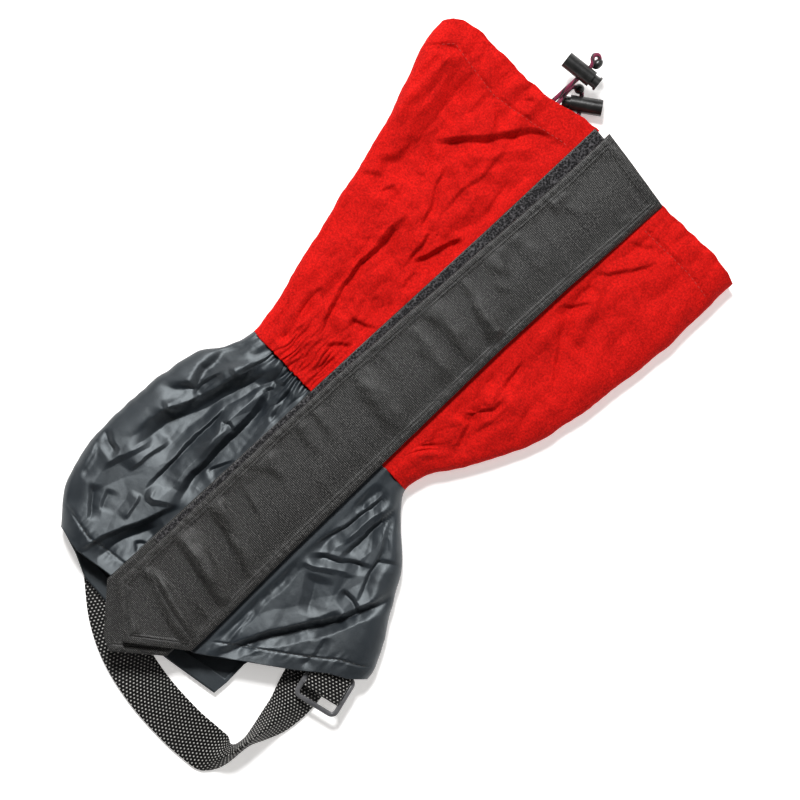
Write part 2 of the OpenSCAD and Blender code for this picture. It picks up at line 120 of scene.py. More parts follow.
def curve(x, table):
    """A smooth curve through a table's pairs."""
    p = np.array(table, float)
    x = np.asarray(x, float)
    ends = np.clip(np.arange(len(p))[:, None] + [-1, 1], 0, len(p) - 1)
    slope = (p[ends[:, 1], 1] - p[ends[:, 0], 1]) / (p[ends[:, 1], 0] - p[ends[:, 0], 0])
    i = np.clip(np.searchsorted(p[:, 0], x) - 1, 0, len(p) - 2)
    h = p[i + 1, 0] - p[i, 0]
    u = np.clip((x - p[i, 0]) / h, 0, 1)
    return (
        (1 - 3 * u**2 + 2 * u**3) * p[i, 1] + (3 * u**2 - 2 * u**3) * p[i + 1, 1]
        + h * (u - 2 * u**2 + u**3) * slope[i] + h * (u**3 - u**2) * slope[i + 1]
    )


def line(x, table):
    """Straight pieces through a table's pairs."""
    return np.interp(x, [p[0] for p in table], [p[1] for p in table])


# ---------------------------------------------------------------- repeatable noise


def lattice(ix, iy, seed):
    """Repeatable random values in 0 to 1 at whole-number points."""
    h = (ix * 374761393 + iy * 668265263 + seed * 974634777) & 0x7FFFFFFF
    h = ((h ^ (h >> 13)) * 1274126177) & 0x7FFFFFFF
    return ((h ^ (h >> 16)) & 0xFFFF) / 65535.0


def noise(x, y, seed=0):
    """Smooth gradient noise, about -1 to 1."""
    x, y = np.broadcast_arrays(np.asarray(x, float), np.asarray(y, float))
    ix, iy = np.floor(x).astype(np.int64), np.floor(y).astype(np.int64)
    fx, fy = x - ix, y - iy
    sx, sy = fx**3 * (fx * (fx * 6 - 15) + 10), fy**3 * (fy * (fy * 6 - 15) + 10)
    total = np.zeros_like(fx)
    for dx in (0, 1):
        for dy in (0, 1):
            turn = lattice(ix + dx, iy + dy, seed) * 2 * math.pi
            slope = np.cos(turn) * (fx - dx) + np.sin(turn) * (fy - dy)
            total += slope * (sx if dx else 1 - sx) * (sy if dy else 1 - sy)
    return total * 1.6


def creased(x, y, seed=0):
    """Noise with sharp valleys between round swells, about -1 to 1."""
    return 2.4 * np.abs(noise(x, y, seed)) - 1


def facets(x, y, seed):
    """Flat triangles that meet at sharp edges, about -1 to 1."""
    ix, iy = np.floor(x).astype(np.int64), np.floor(y).astype(np.int64)
    fx, fy = x - ix, y - iy
    a, b = lattice(ix, iy, seed), lattice(ix + 1, iy + 1, seed)
    c, d = lattice(ix + 1, iy, seed), lattice(ix, iy + 1, seed)
    low = a + fx * (c - a) + fy * (d - a)
    high = b + (1 - fx) * (d - b) + (1 - fy) * (c - b)
    return 2 * np.where(fx + fy < 1, low, high) - 1


def crumple(x, y, size, seed):
    """Crumpled cloth: facets of two sizes on a lattice that is turned and warped."""
    u = (0.8 * x + 0.6 * y) / size + 0.45 * noise(y / size / 1.6, x / size / 1.6, seed)
    v = (0.8 * y - 0.6 * x) / size + 0.45 * noise(x / size / 1.6, y / size / 1.6, seed + 1)
    return 0.7 * facets(u, v, seed + 2) + 0.3 * facets(2.2 * u + 0.4 * v, 2.2 * v + 5, seed + 3)


# ---------------------------------------------------------------- folds


FOLD_SHARPNESS = 1.3
# Where the key light stands in the drafting plane, which is the top of the main view.
LIGHT_FROM = (-0.8, 0.6)
STEEP_SIDE = 0.6


def fold(x, y, gentle, path, height, left, right):
    """Height of one fold. It follows `path`; `left` and `right` say how wide its flanks are.

    The flank that looks to the light is spread out by `gentle`, as cloth that leans over lies.
    """
    p = np.array(path, float)
    run_x, run_y = p[-1] - p[0]
    left_to_light = run_x * LIGHT_FROM[1] - run_y * LIGHT_FROM[0] > 0
    if (height > 0) == left_to_light:
        left, right = left * gentle, right * STEEP_SIDE
    else:
        left, right = left * STEEP_SIDE, right * gentle
    steps = np.diff(p, axis=0)
    lengths = np.hypot(steps[:, 0], steps[:, 1])
    run = np.concatenate([[0], np.cumsum(lengths)])
    reach = 4 * max(left, right)
    near = (
        (x > p[:, 0].min() - reach) & (x < p[:, 0].max() + reach)
        & (y > p[:, 1].min() - reach) & (y < p[:, 1].max() + reach)
    )
    out = np.zeros_like(x)
    qx, qy = x[near], y[near]
    best = np.full(qx.shape, 1e9)
    side = np.zeros_like(qx)
    along = np.zeros_like(qx)
    for i, (dx, dy) in enumerate(steps):
        t = np.clip(((qx - p[i, 0]) * dx + (qy - p[i, 1]) * dy) / lengths[i] ** 2, 0, 1)
        ex, ey = qx - p[i, 0] - t * dx, qy - p[i, 1] - t * dy
        d = np.hypot(ex, ey)
        closer = d < best
        best = np.where(closer, d, best)
        side = np.where(closer, dx * ey - dy * ex, side)
        along = np.where(closer, (run[i] + t * lengths[i]) / run[-1], along)
    width = np.where(side > 0, left, right)
    ends = smooth(along / 0.22) * smooth((1 - along) / 0.25)
    flank = np.clip(1 - best / (1.75 * width), 0, 1)
    out[near] = height * ends * lerp(flank, np.exp(-((best / width) ** FOLD_SHARPNESS)), 0.2)
    return out


def folds(x, y, table, seed, gentle):
    """All the folds in a table, on lines that wander a little."""
    wx = x + 1.5 * noise(x / 18, y / 18, seed) + 0.3 * noise(x / 4, y / 4, seed + 1)
    wy = y + 1.5 * noise(x / 18, y / 18, seed + 2)
    return sum(fold(wx, wy, gentle, *f) for f in table)


# Each fold: its path, its height, and the width of its left and right flanks.
UPPER_FOLDS = [
    ([(-118, 160), (-117, 140), (-116, 120), (-112, 98)], 3.2, 6, 4),
    ([(-104, 156), (-101, 138), (-97, 120), (-95, 104), (-96, 88)], -3.4, 4, 8),
    ([(-44, 162), (-56, 153), (-63, 142), (-71, 131), (-81, 120), (-92, 107)], -3.2, 5, 3.5),
    ([(-46, 152), (-55, 140), (-64, 127), (-74, 116)], 1.8, 6, 6),
    ([(-90, 112), (-94, 100), (-95, 91), (-104, 80)], -3, 4.5, 5),
    ([(-86, 174), (-87, 162), (-83, 153), (-75, 147), (-67, 138)], -1.1, 1.5, 1.8),
    ([(-76, 170), (-72, 163), (-66, 168)], -1.0, 1.8, 1.8),
    ([(-76, 110), (-71, 97), (-65, 88), (-62, 79), (-58, 72)], -1.7, 3, 2),
    ([(-67, 74), (-68, 55), (-68, 36), (-66, 21), (-62, 10), (-58, -1), (-55, -12)], -2.8, 3.2, 2.2),
    ([(-84, 75), (-80, 64), (-76, 50), (-73, 35), (-70, 19), (-69, 6)], -1.6, 2.5, 5),
    ([(-71, 78), (-72, 58), (-71, 38), (-68, 20)], 1.4, 2.4, 2.4),
    ([(-91, 71), (-86, 78), (-82, 77), (-79, 71)], -1.5, 2, 2.4),
    ([(-105, 70), (-99, 75), (-94, 79)], -1.5, 2, 3),
    ([(-101, 60), (-97, 42), (-93, 22), (-90, 12)], -2.0, 4.5, 3.5),
    ([(-49, 56), (-45, 65), (-42, 76), (-39, 88)], -2.6, 2.2, 4),
    ([(-61, 74), (-55, 77), (-52, 69), (-51, 60), (-47, 54)], -1.7, 2, 2.2),
    ([(-44, 56), (-43, 48), (-41, 42)], -1.0, 2, 2),
    ([(-51, 11), (-43, 15), (-36, 18)], -1.2, 1.8, 1.8),
    ([(-51, 30), (-44, 24), (-38, 19)], -0.8, 1.8, 1.8),
    ([(-51, -9), (-46, -3), (-39, 2)], -1.3, 2, 2),
    ([(-57, 137), (-57, 118), (-58, 104), (-58, 90)], -1.1, 2.4, 2),
    ([(-45, 128), (-42, 112), (-40, 100)], -0.8, 2.5, 2),
    ([(-92, 98), (-84, 93), (-78, 94)], -1.2, 2.4, 2.4),
    ([(-128, 146), (-122, 155), (-114, 158)], -1.2, 2.4, 2.4),
    ([(-122, 150), (-120, 135), (-119, 122)], -1.6, 3, 2.4),
    ([(-73, 14), (-74, 2), (-73, -10)], -1.6, 2.4, 2.4),
    ([(19, 122), (30, 130), (38, 140), (44, 155)], -1.4, 2, 2.2),
    ([(22, 147), (30, 153), (39, 160)], -0.8, 2, 2),
    ([(20, 97), (29, 104), (36, 114)], -1.4, 2, 2.2),
    ([(22, 112), (28, 116), (30, 122)], -0.8, 2, 2),
    ([(31, 93), (41, 82), (56, 64)], -0.9, 1.6, 1.8),
    ([(32, 64), (34, 51), (38, 42)], -1.2, 1.6, 1.8),
    ([(41, 42), (40, 33), (34, 25), (31, 31)], -1.6, 1.8, 2),
    ([(33, 45), (35, 38), (36, 31)], 1.3, 2.5, 2.5),
    ([(19, 27), (27, 18), (36, 19), (40, 8), (42, -8)], -1.7, 2, 2.4),
    ([(18, 48), (27, 44), (32, 37)], -1.0, 1.8, 1.8),
    ([(20, 10), (27, 1), (33, -9)], -1.0, 1.8, 2),
    ([(46, 42), (44, 25), (42, 12)], -1.0, 2.2, 2.2),
    ([(52, 60), (55, 45), (57, 34)], -0.7, 2.5, 2.5),
    ([(62, 78), (66, 60), (62, 44)], -0.7, 3, 3),
]
FOOT_FOLDS = [
    ([(-62, -35), (-62, -50), (-66, -64), (-71, -78), (-77, -94), (-81, -110), (-85, -126)], -6.0, 5, 7),
    ([(-72, -38), (-73, -56), (-78, -72), (-82, -88), (-90, -104)], 2.6, 6, 4),
    ([(-82, -36), (-86, -52), (-86, -64), (-83, -78), (-91, -86), (-101, -91)], -4.2, 3.4, 4.5),
    ([(-79, -54), (-73, -55), (-67, -53)], 1.6, 2, 2.4),
    ([(-78, -60), (-81, -72), (-82, -82)], -1.8, 2, 2),
    ([(-89, -92), (-83, -95), (-76, -94)], 1.4, 2, 2),
    ([(-61, -68), (-63, -88), (-63, -106), (-61, -122), (-60, -138)], -2.6, 2.4, 1.8),
    ([(-57, -44), (-57, -64), (-56, -84), (-55, -104)], 2.2, 5, 4),
    ([(-52, -46), (-50, -60), (-48, -78), (-48, -98), (-47, -114), (-44, -128)], -4.6, 3, 3.6),
    ([(-60, -137), (-54, -136), (-48, -131), (-42, -128)], 2.0, 2.4, 3),
    ([(-62, -139), (-60, -148), (-58, -154)], 1.0, 1.6, 1.6),
    ([(-42, -126), (-48, -142), (-55, -156), (-61, -170), (-63, -188)], 3.0, 2.6, 7),
    ([(-40, -140), (-46, -154), (-52, -168), (-54, -184)], -3.4, 6, 6),
    ([(-72, -106), (-75, -120), (-76, -136)], 1.6, 2, 2.4),
    ([(-79, -112), (-84, -128), (-88, -146)], 1.2, 3, 2),
    ([(-102, -129), (-94, -133), (-86, -133)], -2.6, 3.2, 1.6),
    ([(-101, -134), (-95, -143), (-89, -156)], -1.8, 2, 1.8),
    ([(-84, -152), (-78, -160), (-71, -169)], -1.6, 1.8, 2.2),
    ([(-76, -148), (-72, -156), (-69, -161)], -0.9, 2, 2),
    ([(-97, -150), (-92, -162), (-85, -174)], -1.0, 2, 2),
    ([(-55, -42), (-52, -47), (-55, -52)], -1.4, 2, 2),
    ([(-46, -40), (-43, -52), (-40, -60)], -1.6, 2, 2.4),
    ([(-50, -78), (-55, -77), (-59, -80)], -1.4, 1.6, 1.8),
    ([(-45, -104), (-41, -96), (-38, -88)], -1.5, 2, 2.4),
    ([(-44, -162), (-41, -158), (-38, -156)], -1.0, 1.8, 1.8),
    ([(77, -66), (73, -88), (64, -108), (53, -128), (43, -146), (34, -164), (27, -178)], -3.4, 1.6, 3.2),
    ([(70, -72), (68, -90), (60, -108), (49, -127), (40, -143), (31, -160)], 1.6, 3, 3),
    ([(41, -38), (42, -56), (42, -72), (42, -88)], -2.8, 2, 2.2),
    ([(41, -44), (49, -57), (55, -69), (60, -82), (65, -97)], -1.8, 1.8, 1.6),
    ([(54, -72), (60, -68), (68, -62)], -1.2, 1.4, 1.6),
    ([(27, -97), (34, -90), (42, -87), (50, -80), (58, -75)], -2.6, 2.4, 1.6),
    ([(27, -101), (36, -94), (46, -88), (54, -84)], 1.6, 2.4, 2.4),
    ([(31, -36), (32, -52), (30, -66), (27, -82), (25, -98)], -2.4, 2.2, 2),
    ([(37, -42), (36, -60), (34, -80)], 1.6, 3, 3),
    ([(22, -40), (24, -52), (26, -60)], -2.4, 2, 3),
    ([(37, -98), (44, -110), (50, -120)], -1.8, 3, 6),
    ([(52, -96), (61, -95), (70, -97)], -2.2, 2, 2),
    ([(62, -104), (58, -116), (53, -124)], -1.6, 2.4, 3.4),
    ([(25, -98), (24, -118), (24, -140), (24, -158), (22, -172)], -2.6, 1.8, 2.4),
    ([(66, -118), (68, -130), (68, -142)], -0.9, 1.6, 1.6),
    ([(75, -66), (86, -84), (92, -98), (96, -108)], -0.9, 3, 3),
    ([(26, -135), (28, -150), (30, -164)], 0.9, 1.5, 1.5),
]


def across_share(x, y):
    """Where a point is between the two side edges, so that pleats fan out as the tube widens."""
    left, right = curve(y, LEFT_EDGE), curve(y, RIGHT_EDGE)
    return (x - left) / (right - left)


def clear_of_closure(x):
    """0 under the closure, 1 out on the panels."""
    return smooth((CLOSURE_LEFT - x) / 7) + smooth((x - CLOSURE_RIGHT) / 7)


# How far the cloth may sink over the drawcord, which holds the hem tunnel open.
TUNNEL_LOWEST = -0.35


def upper_relief(x, y):
    """How far the upper's front stands above or below its even height."""
    u = across_share(x, y) + 0.012 * noise(x / 14, y / 12, 3)
    above = np.maximum(y - GATHERS_FROM, 0)
    band = smooth((GATHERS_FROM + 4 - y) / 4)
    pleats = creased(u * 38, y / 20, 21) * np.exp(-above / 6) * 1.15
    gathers = creased(u * 17 + 4, y / 30, 22) * np.exp(-above / 18) * 1.1
    swells = noise(u * 7, y / 55, 23) * (0.35 + np.exp(-above / 60)) * 1.2
    drape = 1.15 * creased(x / 15 + y / 55, y / 38 - x / 90, 24) + 1.5 * noise(x / 27, y / 40, 25)
    busy = np.where(x < 0, smooth((x + 118) / 30), smooth((66 - x) / 26)) * smooth((150 - y) / 25)
    drape = drape + crumple(x, y, 17, 28) * (0.6 + 1.2 * busy) * smooth(above / 20)
    wrinkles = 0.75 * creased(x / 13 + y / 40, y / 20 - x / 50, 29) + 0.2 * crumple(x, y, 6, 33)
    drape = drape + wrinkles * (0.25 + 0.75 * busy) * smooth(above / 16)
    hem = stitch_y(x) - y
    seam = -0.55 * np.exp(-((hem / 0.9) ** 2))
    pucker = 0.45 * noise(x / 3.5, y / 9, 26) * np.exp(-((hem / 6) ** 2))
    tunnel = 0.9 * smooth(-hem / 3) * smooth((hem + 17) / 5)
    ruffle = 0.9 * noise(x / 9, y / 30, 27) * smooth((-hem - 6) / 10)
    relief = pleats + gathers + swells + drape + seam + pucker + tunnel + ruffle + band * 0.5
    relief = relief + 1.6 * folds(x, y, UPPER_FOLDS, 31, 1.9)
    return lerp(relief, np.maximum(relief, TUNNEL_LOWEST), smooth((3 - hem) / 4))


def stitch_y(x):
    """The top hem's line of stitches."""
    return line(x, [
        (-134, 143), (-128, 149), (-120, 158), (-110, 156.5), (-98, 155), (-85, 153.5),
        (-70, 156), (-60, 158), (-40, 163), (24, 161.5), (60, 162.5), (81, 160),
    ])


def foot_stitch(x, y):
    """Distance above the foot section's hem stitches."""
    return y - line(x, FRONT_BOTTOM) - FOOT_HEM


def foot_relief(x, y):
    """How far the foot section's front stands above or below its even height."""
    u = across_share(x, y) + 0.014 * noise(x / 12, y / 16, 5)
    below = np.maximum(ANKLE_Y - y, 0)
    left_side = 1 - smooth((x - 20) / 8)
    pleats = creased(u * 30, y / 30, 41) * np.exp(-below / 9) * (0.3 + 1.3 * left_side)
    gathers = creased(u * 14 + 7, y / 60, 42) * np.exp(-below / 34) * (0.9 + left_side)
    crush = creased(u * 6, y / 90, 43) * smooth(below / 20) * 0.7
    crinkle = 1.3 * facets(u * 8 + y / 80, y / 34 - u * 2, 44) + 0.12 * facets(u * 17 - y / 50, y / 19, 45)
    crinkle = crinkle * smooth(below / 10) * (0.6 + 0.4 * left_side) + 0.1 * crumple(x, y, 9, 47)
    beside_flap = np.exp(-(((x - 25) / 3.2) ** 2)) * smooth((-95 - y) / 12) * smooth((y + 178) / 8)
    crinkle = crinkle + 1.1 * facets(x / 3.5, y / 5, 48) * beside_flap
    hem = foot_stitch(x, y)
    seam = -0.5 * np.exp(-((hem / 0.8) ** 2))
    pucker = 0.4 * noise(x / 3, y / 8, 46) * np.exp(-((hem / 5) ** 2))
    start = -0.9 * np.exp(-below / 2.5)
    relief = pleats + gathers + crush + crinkle + seam + pucker + start
    return relief + 1.15 * folds(x, y, FOOT_FOLDS, 51, 2.0)


# ---------------------------------------------------------------- the tube of cloth


def soft_limit(height, free, most):
    """Height left alone up to `free`, and led smoothly towards `most` beyond it."""
    past = np.maximum(np.abs(height) - free, 0)
    room = most - free
    return np.sign(height) * (np.minimum(np.abs(height), free) + room * np.tanh(past / room))


def held(relief):
    """Relief kept clear of the back and under the flap's top, with no flat top or floor."""
    return np.where(relief > 0, soft_limit(relief, 2.2, 5.0), soft_limit(relief, 4.0, 7.5))


def lift_at(y):
    """The back stands clear of the strap's sewn end."""
    return BACK_LIFT * smooth((BACK_LIFT_FROM - y) / BACK_LIFT_RUN)


def tube_point(part, f, y, off):
    """Position across the tube: x, z and how much it belongs to the front."""
    left, right = curve(y, LEFT_EDGE), curve(y, RIGHT_EDGE)
    side, sign = (left, 1) if part.startswith("left") else (right, -1)
    c, s = math.cos(f * math.pi / 2), math.sin(f * math.pi / 2)
    if part == "left_front":
        return lerp(left + FRONT_FOLD, curve(y, PLACKET_SEAM), f), SHELL_H - off + 0 * y, 1.0
    if part == "right_front":
        return lerp(right - FRONT_FOLD, FLAP_SEAM_X + 0 * y, f), SHELL_H - off + 0 * y, 1.0
    if part == "back":
        return lerp(left + BACK_FOLD, right - BACK_FOLD, f), off + lift_at(y), 0.0
    if part.endswith("over"):
        x = side + sign * (off + (FRONT_FOLD - off) * (1 - c))
        return x, SIDE_H + (SHELL_H - off - SIDE_H) * s, s * s
    x = side + sign * (off + (BACK_FOLD - off) * (1 - c))
    return x, SIDE_H - (SIDE_H - off - lift_at(y)) * s, 0.0


# Each stretch of the tube: where its columns start and stop, and how many it has.
STRETCHES = {
    "left_front": (1, 0, 150), "left_over": (1, 0, 14), "left_under": (0, 1, 9),
    "back": (0, 1, 90), "right_under": (1, 0, 9), "right_over": (0, 1, 14),
    "right_front": (0, 1, 100),
}


def tube_columns():
    """Each column's stretch and place in it, from the left seam round the back to the right seam."""
    found = []
    for part, (start, stop, count) in STRETCHES.items():
        steps = np.linspace(start, stop, count)
        found += [(part, f) for f in (steps[1:] if found else steps)]
    return found


def edge_values(columns, y, front, back):
    """One value from a table for each column, read where the column is at height y."""
    values = []
    for part, f in columns:
        x, _, _ = tube_point(part, f, np.array(float(y)), 0.0)
        values.append(line(x, back if part == "back" or part.endswith("under") else front))
    return np.array(values)


def tube_grid(columns, top, bottom, rows, relief, offs=0.0):
    """Grid of points, rows down the leg. offs is the depth in from the outside, for all rows or each."""
    offs = np.broadcast_to(np.asarray(offs, float), (rows,))
    grid = np.zeros((rows, len(columns), 3))
    f_row = np.linspace(0, 1, rows)
    for k, (part, f) in enumerate(columns):
        y = lerp(top[k], bottom[k], f_row)
        x = np.zeros(rows)
        z = np.zeros(rows)
        for off in np.unique(offs):
            at = offs == off
            px, pz, share = tube_point(part, f, y[at], off)
            x[at], z[at] = px, pz
        if part != "back":
            x += 0.8 * (1 - share) * (0.7 * noise(y / 13, 1.5, 7) + 0.3 * noise(y / 4.5, 2.5, 8))
        if not share:
            z += 0.125 * (1 + noise(x / 14, y / 18, 9))
        grid[:, k] = np.stack([x, y, z], axis=-1)
    shares = np.array([tube_point(part, f, np.array(0.0), 0.0)[2] for part, f in columns])
    x, y = grid[..., 0], grid[..., 1]
    raised = relief(x, y) * clear_of_closure(x)
    grid[..., 2] += held(raised) * shares[None, :]
    return grid


# ---------------------------------------------------------------- meshes


def grid_faces(rows, cols):
    """The four corners of each face of a grid, by number."""
    j, k = np.meshgrid(np.arange(rows - 1), np.arange(cols - 1), indexing="ij")
    a = (j * cols + k).ravel()
    return np.stack([a, a + 1, a + cols + 1, a + cols], axis=-1)


def new_object(name, vertices, faces, uv=None):
    """A smooth-shaded mesh object. uv is one pair a vertex, in millimetres."""
    mesh = bpy.data.meshes.new(name)
    mesh.from_pydata([tuple(v) for v in vertices], [], [tuple(f) for f in faces])
    if uv is not None:
        layer = mesh.uv_layers.new(name="UVMap")
        loops = np.zeros(len(mesh.loops), int)
        mesh.loops.foreach_get("vertex_index", loops)
        layer.data.foreach_set("uv", np.asarray(uv, float)[loops].ravel())
    mesh.polygons.foreach_set("use_smooth", [True] * len(mesh.polygons))
    mesh.update()
    obj = bpy.data.objects.new(name, mesh)
    bpy.context.scene.collection.objects.link(obj)
    return obj


def grid_object(name, grid, thick=0.0):
    """An object from a grid in millimetres, thickened away from the side its faces look to."""
    rows, cols = grid.shape[:2]
    step_u = np.linalg.norm(np.diff(grid, axis=1), axis=-1)
    step_v = np.linalg.norm(np.diff(grid, axis=0), axis=-1)
    u = np.concatenate([np.zeros((rows, 1)), np.cumsum(step_u, axis=1)], axis=1)
    v = np.concatenate([np.zeros((1, cols)), np.cumsum(step_v, axis=0)], axis=0)
    middle = u[:, cols // 2 : cols // 2 + 1]
    uv = np.stack([u - middle, np.broadcast_to(v.mean(axis=1, keepdims=True), u.shape)], -1)
    obj = new_object(name, metres(grid.reshape(-1, 3)), grid_faces(rows, cols), uv.reshape(-1, 2))
    if thick:
        solid = obj.modifiers.new("Thickness", "SOLIDIFY")
        solid.thickness = thick * 0.001
        solid.offset = -1
        solid.use_rim = True
    return obj


def tube_object(name, route, diameter, sides=14):
    """A round cord along a route in millimetres, capped, with length and turn as its UV."""
    p = np.asarray(route, float)
    t = np.gradient(p, axis=0)
    t /= np.linalg.norm(t, axis=1, keepdims=True)
    side = np.cross([0.13, 0.31, 0.94], t[0])
    rings, uv = [], []
    run = np.concatenate([[0], np.cumsum(np.linalg.norm(np.diff(p, axis=0), axis=1))])
    for i in range(len(p)):
        side = side - np.dot(side, t[i]) * t[i]
        side /= np.linalg.norm(side)
        other = np.cross(t[i], side)
        for k in range(sides + 1):
            a = 2 * math.pi * k / sides
            rings.append(p[i] + diameter / 2 * (math.cos(a) * side + math.sin(a) * other))
            uv.append((run[i], k / sides))
    cols = sides + 1
    faces = [tuple(f) for f in grid_faces(len(p), cols)[:, ::-1]]
    first = tuple(range(sides - 1, -1, -1))
    last = tuple((len(p) - 1) * cols + k for k in range(sides))
    obj = new_object(name, metres(rings), faces + [first[::-1], last[::-1]], uv)
    weld = obj.modifiers.new("Weld", "WELD")
    weld.merge_threshold = 1e-6
    return obj


def eased(points, steps):
    """More points between a route's own, on a smooth curve through them."""
    p = np.array(points, float)
    ext = np.vstack([2 * p[0] - p[1], p, 2 * p[-1] - p[-2]])
    out = []
    for i in range(len(p) - 1):
        a, b, c, d = ext[i : i + 4]
        for f in np.arange(steps) / steps:
            out.append(0.5 * (2 * b + (c - a) * f + (2 * a - 5 * b + 4 * c - d) * f**2
                              + (3 * b - a - 3 * c + d) * f**3))
    out.append(p[-1])
    return np.array(out)


def joined(name, objects):
    """Several mesh objects made into one, keeping their materials."""
    bpy.ops.object.select_all(action="DESELECT")
    for o in objects:
        o.select_set(True)
    bpy.context.view_layer.objects.active = objects[0]
    bpy.ops.object.join()
    objects[0].name = name
    objects[0].data.name = name
    return objects[0]


# ---------------------------------------------------------------- materials


# The webbing's light picks, in millimetres: from row to row, and from pick to pick in a row.
PICK_ROW, PICK_PITCH = 1.65, 2.3


class Nodes:
    """A short way to write one material's nodes."""

    def __init__(self, name, roughness, specular=0.5, **sockets):
        self.material = bpy.data.materials.new(name)
        self.material.use_nodes = True
        self.tree = self.material.node_tree
        self.shader = self.tree.nodes["Principled BSDF"]
        self.shader.inputs["Roughness"].default_value = roughness
        self.shader.inputs["Specular IOR Level"].default_value = specular
        for key, value in sockets.items():
            self.shader.inputs[key.replace("_", " ")].default_value = value

    def add(self, kind, settings=None, **inputs):
        """A node with its settings and inputs. An input is named, or i0, i1 and so on by number."""
        node = self.tree.nodes.new(kind)
        for key, value in (settings or {}).items():
            setattr(node, key, value)
        for key, value in inputs.items():
            by_number = key[0] == "i" and key[1:].isdigit()
            socket = node.inputs[int(key[1:]) if by_number else key.replace("_", " ")]
            if isinstance(value, bpy.types.NodeSocket):
                self.tree.links.new(value, socket)
            else:
                socket.default_value = value
        return node

    def place(self, source="Object", scale=(1, 1, 1), turn=0.0):
        """Texture coordinates: Object is in metres, UV in millimetres."""
        at = self.add("ShaderNodeTexCoord").outputs[source]
        mapping = self.add("ShaderNodeMapping", None, Vector=at, Scale=scale, Rotation=(0, 0, turn))
        return mapping.outputs[0]

    def grain(self, vector, scale, detail=3.0, roughness=0.6):
        return self.add("ShaderNodeTexNoise", None, Vector=vector, Scale=scale, Detail=detail,
                        Roughness=roughness).outputs[0]

    def wave(self, vector, scale, direction="X", distortion=0.0):
        return self.add("ShaderNodeTexWave", {"bands_direction": direction}, Vector=vector, Scale=scale,
                        Distortion=distortion).outputs[1]

    def math(self, operation, a, b=0.0):
        return self.add("ShaderNodeMath", {"operation": operation}, i0=a, i1=b).outputs[0]

    def times(self, a, b):
        return self.math("MULTIPLY", a, b)

    def plus(self, a, b):
        return self.math("ADD", a, b)

    def from_middle(self, value):
        """How far a value is from the middle of its whole-number step, 0 to 0.5."""
        return self.math("ABSOLUTE", self.math("SUBTRACT", self.math("FRACT", value), 0.5))

    def ramp(self, value, stops):
        """Colours at positions along a value."""
        node = self.add("ShaderNodeValToRGB", None, Fac=value)
        ramp = node.color_ramp
        while len(ramp.elements) < len(stops):
            ramp.elements.new(0.5)
        for element, (at, colour) in zip(ramp.elements, stops):
            element.position = at
            element.color = (*colour, 1)
        return node.outputs[0]

    def colour(self, socket):
        self.tree.links.new(socket, self.shader.inputs["Base Color"])

    def rough(self, value, low, high):
        node = self.add("ShaderNodeMapRange", None, Value=value, To_Min=low, To_Max=high)
        self.tree.links.new(node.outputs[0], self.shader.inputs["Roughness"])

    def bump(self, *heights):
        """Bumps on one another, each a height and how deep it is in millimetres."""
        below = None
        for height, depth in heights:
            node = self.add("ShaderNodeBump", None, Height=height, Strength=1.0, Distance=depth * 0.001)
            if below is not None:
                self.tree.links.new(below, node.inputs["Normal"])
            below = node.outputs[0]
        self.tree.links.new(below, self.shader.inputs["Normal"])


def red_cloth():
    m = Nodes("red_cloth", 0.82, 0.08)
    at = m.place()
    weave = m.times(m.wave(at, 420, "X", 1.5), m.wave(at, 420, "Y", 1.5))
    pile = m.grain(at, 900, 3, 0.7)
    shade = m.plus(m.times(m.grain(at, 110, 3), 0.2), m.times(pile, 0.8))
    m.colour(m.ramp(shade, [(0.34, (0.29, 0.0030, 0.002)), (0.66, (0.68, 0.009, 0.006))]))
    m.bump((m.grain(at, 260, 4), 0.2), (weave, 0.06), (pile, 0.14))
    return m.material


def dark_nylon():
    m = Nodes("dark_nylon", 0.46, 0.8, Specular_Tint=(0.88, 0.96, 1.0, 1))
    at = m.place()
    rib = m.wave(m.place(turn=0.9), 620, "X", 0.4)
    patches = m.grain(at, 40, 3)
    m.colour(m.ramp(patches, [(0.3, (0.005, 0.007, 0.010)), (0.7, (0.009, 0.013, 0.018))]))
    m.rough(m.grain(at, 90, 3), 0.41, 0.49)
    m.bump((rib, 0.035), (m.grain(at, 900, 2), 0.04))
    return m.material


def ribbed_cloth():
    m = Nodes("ribbed_cloth", 0.45, 0.42)
    at = m.place("UV")
    ribs = m.wave(at, 0.31, "Y", 1.0)
    threads = m.wave(at, 0.36, "X", 1.4)
    cloth = m.plus(m.times(ribs, 0.6), m.times(threads, 0.4))
    speckle = m.grain(at, 1.1, 4, 0.75)
    both = m.plus(m.times(cloth, 0.3), m.times(speckle, 0.7))
    m.colour(m.ramp(both, [
        (0.46, (0.001, 0.001, 0.001)), (0.55, (0.006, 0.006, 0.0055)), (0.67, (0.14, 0.135, 0.128)),
    ]))
    satin = m.grain(m.place("UV", (0.3, 1, 1), -0.2), 0.09, 3)
    m.rough(satin, 0.26, 0.66)
    m.bump((cloth, 0.12), (speckle, 0.18))
    return m.material


def pile_tape():
    m = Nodes("pile_tape", 0.95, 0.2, Sheen_Weight=0.3)
    at = m.place()
    tufts = m.add("ShaderNodeTexVoronoi", None, Vector=at, Scale=900.0).outputs[0]
    fuzz = m.grain(at, 2200, 3)
    m.colour(m.ramp(m.times(tufts, fuzz), [(0.2, (0.001, 0.001, 0.002)), (0.55, (0.11, 0.105, 0.11))]))
    m.bump((tufts, 0.6), (fuzz, 0.3))
    return m.material


def hook_cloth():
    m = Nodes("hook_cloth", 0.6, 0.4)
    at = m.place()
    hooks = m.times(m.wave(at, 220, "X"), m.wave(at, 220, "Y"))
    m.colour(m.ramp(hooks, [(0.3, (0.008, 0.008, 0.008)), (0.9, (0.05, 0.05, 0.05))]))
    m.bump((hooks, 0.4), (m.grain(at, 1500, 2), 0.08))
    return m.material


